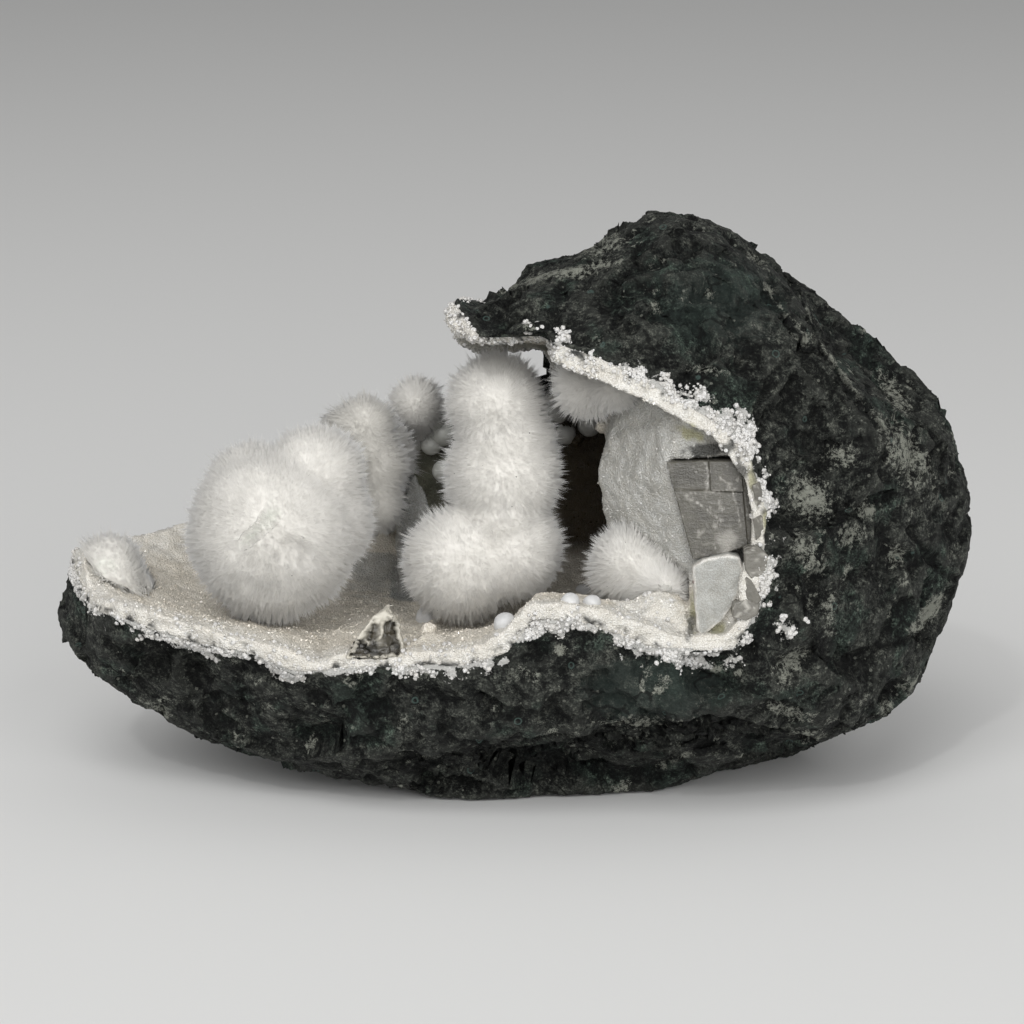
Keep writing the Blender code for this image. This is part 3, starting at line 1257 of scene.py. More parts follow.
@dataclass(frozen=True)
class CalciteFinish:
    """Half-clear cleaved calcite with milky veils."""

    name: str
    body: Colour
    deep: Colour
    veil: Colour
    coat: Colour = (0.78, 0.75, 0.68)
    veils: float = 0.6
    clearness: float = 0.35
    roughness: float = 0.22
    ior: float = 1.6
    relief: float = 0.15
    streak_turn: float = 38.0
    streak_stretch: float = 4.5

    def material(self) -> bpy.types.Material:
        """Builds the material.

        Returns:
            The material.
        """
        material, wiring, shader = new_material(self.name)
        place = wiring.place()
        cloud = wiring.clouds(place, 4.5, 4, 0.6)
        colour = wiring.mix(wiring.between(cloud, 0.35, 0.65), self.deep, self.body)
        slanted = wiring.node("ShaderNodeMapping")
        wiring.put(slanted.inputs["Vector"], place)
        slanted.inputs["Rotation"].default_value = (0.0, math.radians(self.streak_turn), 0.0)
        slanted.inputs["Scale"].default_value = (1.0, 1.0, self.streak_stretch)
        streak = wiring.clouds(slanted.outputs[0], 3.2, 5, 0.7)
        veil = wiring.times(wiring.between(streak, 0.56, 0.74), self.veils)
        colour = wiring.mix(veil, colour, self.veil)
        relief = wiring.plus(streak, wiring.clouds(place, 0.6, 4, 0.7))
        looks = {
            "Base Color": wiring.mix(wiring.value("coat"), colour, self.coat),
            "Roughness": self.roughness,
            "IOR": self.ior,
            "Transmission Weight": self.clearness,
            "Normal": wiring.bump(relief, self.relief),
        }
        wiring.put_all(shader, looks)
        return material


@dataclass(frozen=True)
class StageFinish:
    """The plain pale floor."""

    colour: Colour = (0.74, 0.74, 0.73)
    roughness: float = 0.9

    def material(self) -> bpy.types.Material:
        """Builds the material.

        Returns:
            The material.
        """
        material, wiring, shader = new_material("pale_floor")
        wiring.put_all(shader, {"Base Color": self.colour, "Roughness": self.roughness})
        return material


def finish_piece(
    obj: bpy.types.Object, material: bpy.types.Material, node: Node, smooth: bool = True
) -> bpy.types.Object:
    """Gives a piece its material and body, hides the solid that it stands for, and reports it.

    Args:
        obj: The finished piece.
        material: Its material.
        node: The solid that it stands for.
        smooth: Whether its faces are shaded smooth.

    Returns:
        The piece.
    """
    obj.data.materials.clear()
    obj.data.materials.append(material)
    select_only(obj)
    if smooth:
        bpy.ops.object.shade_smooth()
    else:
        bpy.ops.object.shade_flat()
    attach(obj, "root")
    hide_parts(node.value)
    log.info("%s: %d faces", obj.name, len(obj.data.polygons))
    return obj


# The rock.


@dataclass(frozen=True)
class Chipping:
    """Flat chips struck off a surface at random."""

    count: int
    reach: tuple[float, float]
    depth: tuple[float, float]
    slant: float = 0.25

    def strike(
        self, points: np.ndarray, normals: np.ndarray, keep: np.ndarray, dice: np.random.Generator
    ) -> np.ndarray:
        """Moves what lies beyond each chip's plane back onto it.

        Args:
            points: The points of the surface.
            normals: Their normals.
            keep: The share of its move that each point keeps.
            dice: The source of chance.

        Returns:
            The moved points.
        """
        order = np.argsort(points[:, 0])
        points, normals, keep = points[order], normals[order], keep[order]
        columns = points[:, 0].copy()
        for _ in range(self.count):
            middle = dice.integers(len(points))
            facing = normals[middle] + dice.normal(0, self.slant, 3)
            facing /= np.linalg.norm(facing)
            reach, depth = dice.uniform(*self.reach), dice.uniform(*self.depth)
            first, last = np.searchsorted(columns, (columns[middle] - reach, columns[middle] + reach))
            offset = points[first:last] - points[middle]
            near = first + np.nonzero((offset * offset).sum(axis=1) < reach * reach)[0]
            beyond = (points[near] - points[middle]) @ facing + depth
            beyond = np.maximum(beyond, 0) * keep[near]
            points[near] -= facing * beyond[:, None]
        moved = np.empty_like(points)
        moved[order] = points
        return moved


@dataclass
class BasaltMatrix:
    """The broken nodule: hackly basalt, with a white coating that spreads from the hollow's rim."""

    voxel: float = 0.7
    triangles: int = 190_000
    hidden_share: float = 0.05
    coat_width: tuple[float, float] = (0.5, 2.0)
    coat_height: float = 0.45
    chippings: tuple[Chipping, ...] = (
        Chipping(150, (14.0, 20.0), (0.2, 0.8), 0.10),
        Chipping(900, (3.0, 7.0), (0.05, 0.38), 0.26),
        Chipping(2600, (1.2, 3.0), (0.05, 0.30), 0.45),
    )
    reliefs: tuple[Relief, ...] = (
        Relief(6.0, 1.05, "IMPROVED_PERLIN", hard=True, depth=2),
        Relief(2.2, 0.7, "IMPROVED_PERLIN", hard=True, depth=2),
    )
    ledge: Line = (
        (380, 772), (400, 757), (440, 762), (480, 748), (520, 752), (560, 746), (590, 738), (615, 726),
        (650, 722), (675, 727), (700, 721), (730, 722), (760, 728), (800, 738), (850, 757),
    )
    ledge_depth: float = 2.2
    cracks: tuple[Line, ...] = (
        ((912, 530), (922, 548), (935, 566), (948, 577), (962, 580)),
        ((845, 660), (870, 650), (895, 644), (925, 636)),
        ((765, 292), (795, 330), (826, 356), (856, 396), (884, 430)),
        ((436, 690), (446, 705), (441, 728), (452, 742)),
    )
    coat_spots: tuple[Spot, ...] = (
        Spot(527, 325, 16, 10, 25, 1.1),
        Spot(566, 339, 14, 9, 40, 1.1),
        Spot(312, 664, 42, 13, 8),
        Spot(748, 428, 34, 13, 60, 0.95),
        Spot(768, 575, 15, 40, 10, 0.9),
        Spot(785, 625, 18, 30, 20, 0.85),
        Spot(690, 660, 62, 12, 0, 0.9),
        Spot(667, 377, 8, 6, 30, 1.1),
        Spot(700, 396, 22, 9, 20, 1.0),
    )
    pale_spots: tuple[Spot, ...] = (
        Spot(603, 240, 26, 9, -10),
        Spot(600, 247, 48, 14, -12, 0.6),
        # This spot lies on the dome's lit edge and is painted highlight.
        Spot(572, 275, 32, 6, 0, 0.8),
        Spot(757, 260, 20, 6, 38, 0.9),
        Spot(705, 370, 30, 6, 10, 0.7),
        Spot(808, 497, 34, 26, 30, 1.1),
        Spot(840, 455, 24, 18, 0, 0.7),
        Spot(905, 455, 50, 24, 60, 1.0),
        Spot(895, 395, 40, 12, 55, 0.8),
        Spot(800, 545, 14, 22, 0, 0.9),
        Spot(865, 510, 18, 12, 0, 0.8),
        Spot(850, 535, 26, 16, 0, 0.8),
        Spot(895, 555, 12, 18, 0, 0.9),
        Spot(815, 560, 16, 24, 0, 0.8),
        Spot(930, 610, 24, 10, -50, 1.6),
        Spot(916, 628, 12, 8, 0, 1.2),
        Spot(830, 610, 10, 26, 0, 0.7),
        Spot(790, 664, 26, 16, -40, 1.1),
        Spot(785, 682, 10, 10, 0, 0.9),
        Spot(790, 712, 36, 9, 15, 0.9),
        Spot(885, 708, 14, 8, -30, 0.9),
        Spot(640, 722, 60, 7, 0, 0.7),
        Spot(560, 650, 9, 8, 0, 1.4),
        Spot(686, 755, 14, 5, 0, 0.9),
    )
    teal_spots: tuple[Spot, ...] = (Spot(650, 690, 85, 40), Spot(720, 300, 90, 60, 0, 0.5))
    veins: tuple[Line, ...] = (
        ((765, 286), (790, 320), (820, 345), (852, 388), (885, 428)),
        # The second path is no vein: it is painted highlight along the edge where the dome's lit top meets
        # its front.
        ((500, 292), (530, 280), (560, 272), (590, 268), (620, 262)),
    )
    vein_width: float = 2.2
    seed: int = 5

    def build(self, finish: bpy.types.Material, crust: Nearest) -> bpy.types.Object:
        """Builds and dresses the rock.

        Args:
            finish: Its material.
            crust: The surface of the quartz crust.

        Returns:
            The rock.
        """
        rock = copy_of_node(Node.BASALT, "basalt_rock")
        remesh(rock, self.voxel)
        self.shape(rock, crust)
        gap = crust.distances(points_of(rock))
        write_group(rock, "rough", smooth_step(gap, 0.8, 4.0))
        for relief in self.reliefs:
            relief.press(rock, "rough")
        self.swell_coat(rock, crust)
        thin_selected(rock, gap < 0.9, self.hidden_share)
        decimate_to(rock, self.triangles)
        rock.vertex_groups.clear()
        self.mark(rock, crust)
        return finish_piece(rock, finish, Node.BASALT)

    def shape(self, rock: bpy.types.Object, crust: Nearest) -> None:
        """Strikes the chips, and cuts in below the ledge and along the cracks.

        Args:
            rock: The rock.
            crust: The surface of the quartz crust.
        """
        dice = np.random.default_rng(self.seed)
        points = points_of(rock)
        keep = smooth_step(crust.distances(points), 0.6, 3.0) * smooth_step(points[:, 2], 0.3, 1.5)
        for chipping in self.chippings:
            points = chipping.strike(points, normals_of(rock), keep, dice)
            move_points(rock, points)
        normals = normals_of(rock)
        across, down = VIEW.pixels(points)
        front = smooth_step(normals @ VIEW.way(), 0.0, 0.2) * keep
        edge_across = [place[0] for place in self.ledge]
        edge_down = [place[1] for place in self.ledge]
        under = down - np.interp(across, edge_across, edge_down) - 2.5 * noise_at(points, 4.0, 8.8)
        ends = smooth_step(across, 380, 420) * smooth_step(-across, -860, -820)
        cut = smooth_step(under, -1.5, 2.0) * smooth_step(-under, -42, -12) * ends * self.ledge_depth
        for crack in self.cracks:
            groove = path_distance(crack, across, down) / (3.0 + noise_at(points, 3.0, 6.1))
            cut = np.maximum(cut, 0.9 * smooth_step(-groove, -1.4, -0.2))
        move_points(rock, points - normals * (cut * front)[:, None])

    def swell_coat(self, rock: bpy.types.Object, crust: Nearest) -> None:
        """Raises the surface where the white coating lies.

        Args:
            rock: The rock.
            crust: The surface of the quartz crust.
        """
        points, normals = points_of(rock), normals_of(rock)
        coat = self.coat(points, normals, crust.distances(points))
        lift = smooth_step(coat, 0.0, 0.5) * self.coat_height * (1 + 0.7 * noise_at(points, 1.6, 3.3))
        move_points(rock, points + normals * lift[:, None])

    def mark(self, rock: bpy.types.Object, crust: Nearest) -> None:
        """Stores where the rock's coating, pale patches and teal zones are, with a painted highlight along
        one edge, and its hollows for painted shade and light.

        Args:
            rock: The rock.
            crust: The surface of the quartz crust.
        """
        points, normals = points_of(rock), normals_of(rock)
        across, down = VIEW.pixels(points)
        front = smooth_step(normals @ VIEW.way(), 0.0, 0.15)
        write_values(rock, "coat", self.coat(points, normals, crust.distances(points)))
        pale = deepest(self.pale_spots, across, down)
        # The second vein path is painted highlight along a lit edge.
        for vein in self.veins:
            width = self.vein_width * (1 + 0.8 * noise_at(points, 5.0, 3.1))
            line = 1 - path_distance(vein, across, down) / np.maximum(width * 2, 0.5)
            pale = np.maximum(pale, line * (1.0 + 0.6 * noise_at(points, 8.0, 0.4)))
        pale = np.where(front > 0, pale * front, -1)
        elsewhere = noise_at(points, 13.0, 7.7) * 1.6 + noise_at(points, 5.0, 1.3) * 0.8 - 0.9
        pale = np.maximum(pale, np.where(front < 0.5, elsewhere, -1))
        flecks = noise_at(points, 7.0, 2.2) * 1.2 + noise_at(points, 2.6, 4.1) * 0.9 - 0.5
        pale = np.maximum(pale, np.clip(flecks, -1, 0.7))
        write_values(rock, "pale", np.clip(pale, -1, 1))
        # The hollows drive the painted shade in the rock's hollows and the painted light on its ridges.
        write_values(rock, "hollow", hollows(rock))
        teal = deepest(self.teal_spots, across, down) * front
        write_values(rock, "teal", np.clip(teal, -1, 1))
        crack = np.full(len(points), 99.0)
        for path in self.cracks:
            crack = np.minimum(crack, path_distance(path, across, down))
        write_values(rock, "crack", np.where(front > 0.1, smooth_step(-crack, -3.5, -1.0), 0))

    def coat(self, points: np.ndarray, normals: np.ndarray, gap: np.ndarray) -> np.ndarray:
        """How thick the white coating is at each point, from -1 to 1, and none below 0.

        Args:
            points: The points of the rock.
            normals: Their normals.
            gap: How far each lies from the crust.

        Returns:
            One number for each point.
        """
        across, down = VIEW.pixels(points)
        front = normals @ VIEW.way() > 0.05
        above, below = self.coat_width
        width = above + (below - above) * smooth_step(points[:, 2], 62.0, 46.0)
        width += 2.6 * noise_at(points, 5.0, 4.4) + 2.6 * noise_at(points, 1.8, 9.1)
        width -= 0.8 * smooth_step(points[:, 2], 92.0, 97.0)
        width += 1.7 * smooth_step(points[:, 0], 14.0, 26.0) * smooth_step(points[:, 2], 56.0, 64.0)
        coat = (width - gap) / 2.0
        lace = noise_at(points, 1.4, 2.2) * 0.7 + noise_at(points, 3.0, 5.5) * 0.7
        spots = deepest(self.coat_spots, across, down) * 1.2 - 0.45
        spots = np.where(front, spots + lace, -1)
        return np.clip(np.maximum(coat + lace * 0.3, spots), -1, 1)


@dataclass
class Popcorn:
    """Round white grains of quartz that crowd along the rim and spread over the rock."""

    rock_count: int = 5400
    rim_count: int = 6500
    radius: tuple[float, float] = (0.15, 0.62)
    tint: float = 0.84
    seed: int = 7
    thick: tuple[Spot, ...] = (
        Spot(652, 612, 48, 26),
        Spot(540, 628, 60, 16),
        Spot(440, 650, 90, 12, 4),
        Spot(240, 640, 130, 12, 16),
        Spot(500, 341, 56, 12, 3, 3.0),
        Spot(545, 354, 12, 16, 0, 3.0),
    )

    def build(
        self, rock: bpy.types.Object, crust: bpy.types.Object, finish: bpy.types.Material, edge: np.ndarray
    ) -> None:
        """Scatters the grains on the rock's coating and on the crust's rim.

        Args:
            rock: The dressed rock.
            crust: The dressed crust.
            finish: The grains' material.
            edge: How near each point of the crust is to its rim, from 0 to 1.
        """
        dice = np.random.default_rng(self.seed)
        coat = np.empty(len(rock.data.vertices), dtype=np.float32)
        rock.data.attributes["coat"].data.foreach_get("value", coat)
        gap = Nearest(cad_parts[Node.CRUST.value]).distances(points_of(rock))
        weights = smooth_step(coat, 0.05, 0.6) * smooth_step(gap, 0.4, 0.7)
        weights *= 0.15 + smooth_step(noise_at(points_of(rock), 3.0, 2.9), -0.2, 0.3)
        self.crowd("rock_popcorn", *scatter_on(rock, self.rock_count, dice, weights), dice, finish)
        ground = points_of(crust)
        thick = smooth_step(deepest(self.thick, *VIEW.pixels(ground)), 0.0, 0.5) * (ground[:, 1] < -8)
        edge = edge * (1 + 1.5 * smooth_step(ground[:, 2], 82.0, 88.0)) + 0.6 * thick
        self.crowd("rim_popcorn", *scatter_on(crust, self.rim_count, dice, edge), dice, finish)

    def crowd(
        self,
        name: str,
        places: np.ndarray,
        normals: np.ndarray,
        dice: np.random.Generator,
        finish: bpy.types.Material,
    ) -> None:
        """Builds one piece of grains.

        Args:
            name: The piece's name.
            places: Where the grains sit.
            normals: The normals there.
            dice: The source of chance.
            finish: The grains' material.
        """
        count = len(places)
        low, high = self.radius
        radii = low + (high - low) * dice.random(count) ** 3.0
        ways = unit(normals + dice.normal(0, 0.35, normals.shape))
        grains = self.grain().repeat(
            name,
            places + normals * (radii * 0.2)[:, None],
            ways,
            radii,
            radii * dice.uniform(0.75, 1.1, count),
            dice.uniform(0, FULL_TURN, count),
        )
        write_colours(grains, "tint", np.full((len(grains.data.vertices), 3), self.tint))
        finish_piece(grains, finish, Node.CRUST)

    @staticmethod
    def grain() -> Stencil:
        """One knobbly grain.

        Returns:
            The stencil.
        """
        deselect_all()
        bpy.ops.mesh.primitive_ico_sphere_add(subdivisions=1, radius=1)
        obj = bpy.context.object
        edit(obj)
        bpy.ops.transform.vertex_random(offset=0.14, uniform=0.5, seed=3)
        close_edit()
        return Stencil.of(obj)


# The crust of quartz that lines the hollow.


@dataclass(frozen=True)
class DruseTints:
    """The colours of the druse in the parts of the hollow, with painted shade in the deep recess and a
    painted shadow above the brown calcite.
    """

    cream: Colour = (0.83, 0.785, 0.705)
    white: Colour = (0.84, 0.825, 0.785)
    olive: Colour = (0.20, 0.205, 0.155)
    blue_grey: Colour = (0.56, 0.562, 0.545)
    blade: Colour = (0.36, 0.37, 0.365)
    # The brown is the recess's own colour, darkened further as painted shade deep in the recess.
    brown: Colour = (0.044, 0.032, 0.015)
    bare: Colour = (0.035, 0.037, 0.035)
    moss: Colour = (0.42, 0.41, 0.25)
    bare_and_painted_shadow_spots: tuple[Spot, ...] = (
        Spot(146, 538, 34, 8, -14, 1.4),
        Spot(690, 625, 5, 18, 8, 1.0),
        # This spot is painted shadow: the dark shade under the overhang above the brown calcite.
        Spot(712, 449, 32, 8, -4, 1.5),
        Spot(742, 470, 7, 18, -24, 1.2),
    )
    haze: Spot = Spot(372, 562, 40, 46)
    snow: Spot = Spot(648, 616, 52, 40)
    moss_spots: tuple[Spot, ...] = (
        Spot(694, 434, 20, 9, 25),
        Spot(694, 612, 9, 24, 8),
        Spot(752, 478, 8, 16, 0),
        Spot(768, 520, 8, 20, 0),
        Spot(718, 628, 12, 8, 0, 0.7),
        Spot(572, 402, 12, 7, 0, 0.8),
    )

    def at(self, points: np.ndarray, skin: Nearest) -> np.ndarray:
        """The colour at each point.

        Args:
            points: Where to read it.
            skin: The open outside of the rock, near which the druse is white.

        Returns:
            One colour for each point.
        """
        x, y, z = points.T
        warp = noise_at(points, 6.0, 1.7) * 2.5
        colour = np.tile(np.array(self.cream), (len(points), 1))
        blade = smooth_step(x, -14.0, -15.5) * smooth_step(x, -25.5, -24.5) * smooth_step(y, 7.0, 8.5)
        across, down = VIEW.pixels(points)
        ragged = noise_at(points, 1.5, 6.3) * 0.5 + noise_at(points, 3.5, 2.3) * 0.4
        hazy = smooth_step(self.haze.share(across, down) + ragged * 0.5, 0.0, 0.6) * (y < 25)
        curtain = smooth_step(x + warp, 13, 17) * smooth_step(y, -13, -17) * smooth_step(z, 46, 50)
        layers = [
            (self.olive, smooth_step(y + warp, 4, 14) * smooth_step(x, -36, -26) * smooth_step(z, 41, 50)),
            # Painted shade: the deep recess is coloured dark brown.
            (self.brown, smooth_step(x + warp, 6, 10) * smooth_step(y, -16, -6) * smooth_step(z, 36, 42)),
            (self.blue_grey, curtain),
            (self.blade, blade * smooth_step(y, 24, 22) * smooth_step(z, 61, 58)),
            (self.blue_grey, hazy * 0.9),
            (self.white, smooth_step(skin.distances(points) + warp * 0.5, 9.0, 2.0)),
        ]
        seen = y < -8
        # The bare spots are bare rock, and one of them is painted shadow.
        for tint, spots in ((self.moss, self.moss_spots), (self.bare, self.bare_and_painted_shadow_spots)):
            share = smooth_step(deepest(spots, across, down) + ragged, 0.05, 0.5) * seen
            layers.append((tint, share * 0.85))
        snowy = smooth_step(self.snow.share(across, down) + ragged * 0.4, 0.0, 0.5) * (y < -18)
        layers.append((self.white, snowy))
        layers.append((self.bare, self.gaps(points, skin)))
        for tint, share in layers:
            colour += (np.array(tint) - colour) * share[:, None]
        return colour

    @staticmethod
    def gaps(points: np.ndarray, skin: Nearest) -> np.ndarray:
        """Where the rim has lost its quartz and bare rock shows, from 0 to 1."""
        lace = noise_at(points, 2.6, 8.2) + 0.55 * noise_at(points, 1.2, 3.7)
        return smooth_step(lace, 0.14, 0.32) * smooth_step(skin.distances(points), 2.8, 1.8)


@dataclass
class QuartzCrust:
    """The druse that lines the hollow, with the crystals that stand on it."""

    voxel: float = 0.58
    triangles: int = 180_000
    hidden_share: float = 0.06
    overlap: float = 0.65
    reliefs: tuple[Relief, ...] = (
        Relief(5.0, 1.3, "IMPROVED_PERLIN"),
        Relief(2.6, -0.7, "VORONOI_F1"),
        Relief(1.2, -0.4, "VORONOI_F1"),
    )
    rim_reliefs: tuple[Relief, ...] = (
        Relief(2.6, 3.6, "IMPROVED_PERLIN", depth=2), Relief(1.9, -1.8, "VORONOI_F1"),
    )
    gap_depth: float = 0.7
    calm: tuple[Spot, ...] = (Spot(715, 590, 34, 50, -10), Spot(722, 510, 60, 64, 0))
    lumps: tuple[Ball, ...] = (
        (-15.8, -36.5, 38.6, 3.3), (-1.5, -38.0, 38.2, 3.5), (9.8, -29.4, 41.0, 3.1),
        (16.2, -31.4, 41.3, 3.3), (18.0, -12.4, 73.4, 3.4), (9.8, 29.6, 68.0, 3.7),
        (13.4, 30.6, 62.6, 3.5), (-14.3, 29.6, 57.6, 3.7), (-12.0, 30.6, 52.7, 3.5),
    )
    crystal_count: int = 10_000
    crystal_radius: tuple[float, float] = (0.14, 0.36)
    crystal_sides: int = 6
    crystal_seed: int = 21
    tints: DruseTints = field(default_factory=DruseTints)

    def build(self, finish: bpy.types.Material, rock: Nearest, skin: Nearest) -> bpy.types.Object:
        """Builds and dresses the crust.

        Args:
            finish: Its material.
            rock: The surface of the basalt solid.
            skin: The open outside of the dressed rock.

        Returns:
            The crust.
        """
        crust = copy_of_node(Node.CRUST, "druse_crust")
        remesh(crust, self.voxel)
        self.shrink_lumps(crust)
        gap = rock.distances(points_of(crust))
        rough = smooth_step(gap, 0.6, 1.6) * (1 - 0.8 * self.calm_share(points_of(crust)))
        write_group(crust, "open", rough)
        write_group(crust, "rim", self.edge(crust, skin) * smooth_step(gap, 0.5, 0.8))
        for relief in self.reliefs:
            relief.press(crust, "open")
        for relief in self.rim_reliefs:
            relief.press(crust, "rim")
        points, normals = points_of(crust), normals_of(crust)
        lost = self.gap_depth * self.tints.gaps(points, skin) * smooth_step(gap, 0.9, 1.4)
        lift = self.overlap * smooth_step(gap, 0.9, 0.5) - lost
        move_points(crust, points + normals * lift[:, None])
        thin_selected(crust, gap < 0.7, self.hidden_share)
        decimate_to(crust, self.triangles)
        crust.vertex_groups.clear()
        # Painted shade: the tint is darkened in the crust's hollows.
        shade = 1 - 0.24 * smooth_step(hollows(crust), 0.04, 0.34)
        write_colours(crust, "tint", self.tints.at(points_of(crust), skin) * shade[:, None])
        return finish_piece(crust, finish, Node.CRUST)

    def shrink_lumps(self, crust: bpy.types.Object) -> None:
        """Draws in the lumps of the solid where smooth beads stand.

        Args:
            crust: The crust.
        """
        points = points_of(crust)
        for x, y, z, radius in self.lumps:
            offset = points - np.array([x, y, z])
            reach = np.linalg.norm(offset, axis=1)
            share = smooth_step(reach, radius + 0.9, radius + 0.2)
            points = points - offset * (0.55 * share)[:, None]
        move_points(crust, points)

    def calm_share(self, points: np.ndarray) -> np.ndarray:
        """Where crystals of their own stand before the crust, from 0 to 1."""
        return smooth_step(deepest(self.calm, *VIEW.pixels(points)), 0.0, 0.3) * (points[:, 1] < -20)

    def edge(self, crust: bpy.types.Object, skin: Nearest) -> np.ndarray:
        """How near each point of the crust is to its rim, from 0 to 1, and 0 in the rim's gaps.

        Args:
            crust: The crust.
            skin: The open outside of the dressed rock.

        Returns:
            One number for each point.
        """
        points = points_of(crust)
        gap = skin.distances(points)
        lip = smooth_step(gap, 8.0, 4.0) * smooth_step(points[:, 2], 80.0, 85.0) * (points[:, 0] < 16)
        share = np.maximum(smooth_step(gap, 4.0, 1.2), lip)
        return share * (1 - 0.9 * self.tints.gaps(points, skin))

    def crystals(
        self, crust: bpy.types.Object, finish: bpy.types.Material, rock: Nearest, skin: Nearest
    ) -> bpy.types.Object:
        """Stands small pointed crystals on the crust.

        Args:
            crust: The dressed crust.
            finish: Their material.
            rock: The surface of the basalt solid.
            skin: The open outside of the dressed rock.

        Returns:
            The piece.
        """
        dice = np.random.default_rng(self.crystal_seed)
        weights = smooth_step(rock.distances(points_of(crust)), 1.4, 2.4)
        weights *= 1 - 0.35 * self.calm_share(points_of(crust))
        weights *= 0.3 + 0.7 * smooth_step(points_of(crust)[:, 1], 20.0, -5.0)
        places, normals = scatter_on(crust, self.crystal_count, dice, weights)
        low, high = self.crystal_radius
        radii = low + (high - low) * dice.random(self.crystal_count) ** 2
        ways = unit(normals + dice.normal(0, 0.42, normals.shape))
        lengths = radii * dice.uniform(1.2, 1.9, self.crystal_count)
        point = Stencil.cone(self.crystal_sides)
        corners = len(point.points)
        points = point.repeat(
            "druse_crystals",
            places - ways * (radii * 0.7)[:, None],
            ways,
            radii,
            lengths,
            dice.uniform(0, FULL_TURN, self.crystal_count),
        )
        tint = np.repeat(self.tints.at(places, skin), corners, axis=0)
        lift = np.repeat(dice.uniform(0.95, 1.2, self.crystal_count), corners)[:, None]
        write_colours(points, "tint", np.clip(tint * lift, 0, 0.95))
        return finish_piece(points, finish, Node.CRUST, smooth=False)


@dataclass
class Beads:
    """Smooth round beads of milky quartz on the crust, as (pixel across, down, radius in pixels, lift).

    Each bead stands on the crust where the photograph shows it. The lift is the share of its radius
    that its middle stands off the surface.
    """

    beads: tuple[tuple[float, float, float, float], ...] = (
        (434.6, 420.0, 10.5, 3.0), (442.0, 434.0, 12.3, 2.2), (431.0, 444.0, 11.0, 2.4),
        (436.0, 428.0, 12.0, 1.2), (432.0, 441.0, 12.0, 0.8), (411.0, 437.0, 16.0, 0.8),
        (444.0, 471.0, 11.5, 0.5), (457.0, 494.0, 13.2, 0.5), (460.0, 507.0, 11.5, 0.5),
        (387.5, 524.0, 9.8, 0.7), (558.0, 411.0, 12.0, 0.5), (566.0, 434.0, 10.5, 0.5),
        (589.0, 425.0, 11.8, 0.6), (428.0, 617.5, 12.5, 0.1), (506.0, 625.0, 12.5, 0.3),
        (570.0, 602.0, 9.5, -0.3), (592.0, 604.0, 9.5, -0.3), (583.0, 592.0, 8.0, -0.2),
    )
    brightest: float = 0.60

    def build(self, finish: bpy.types.Material, tints: DruseTints, crust: Nearest, skin: Nearest) -> None:
        """Models the beads and joins them into one piece.

        Args:
            finish: Their material.
            tints: The colours of the druse.
            crust: The surface of the dressed crust.
            skin: The open outside of the dressed rock.
        """
        made = []
        for across, down, wide, lift in self.beads:
            place = VIEW.seen(crust, across, down)
            radius = wide / VIEW.scale_at(place)
            made.append(self.bead(VIEW.seen(crust, across, down, lift * radius), radius))
        piece = join(made, "quartz_beads")
        tint = tints.at(points_of(piece), skin) * 0.35 + np.array(tints.blue_grey) * 0.75
        write_colours(piece, "tint", np.minimum(tint, self.brightest))
        finish_piece(piece, finish, Node.CRUST)

    @staticmethod
    def bead(place: np.ndarray, radius: float) -> bpy.types.Object:
        """One slightly uneven bead.

        Args:
            place: Its middle.
            radius: Its radius.

        Returns:
            The bead.
        """
        deselect_all()
        bpy.ops.mesh.primitive_ico_sphere_add(
            subdivisions=4, radius=radius * MM, location=(place * MM).tolist()
        )
        obj = bpy.context.object
        apply_place(obj)
        Relief(2.4, 0.45).press(obj)
        return obj


# The okenite puffballs.


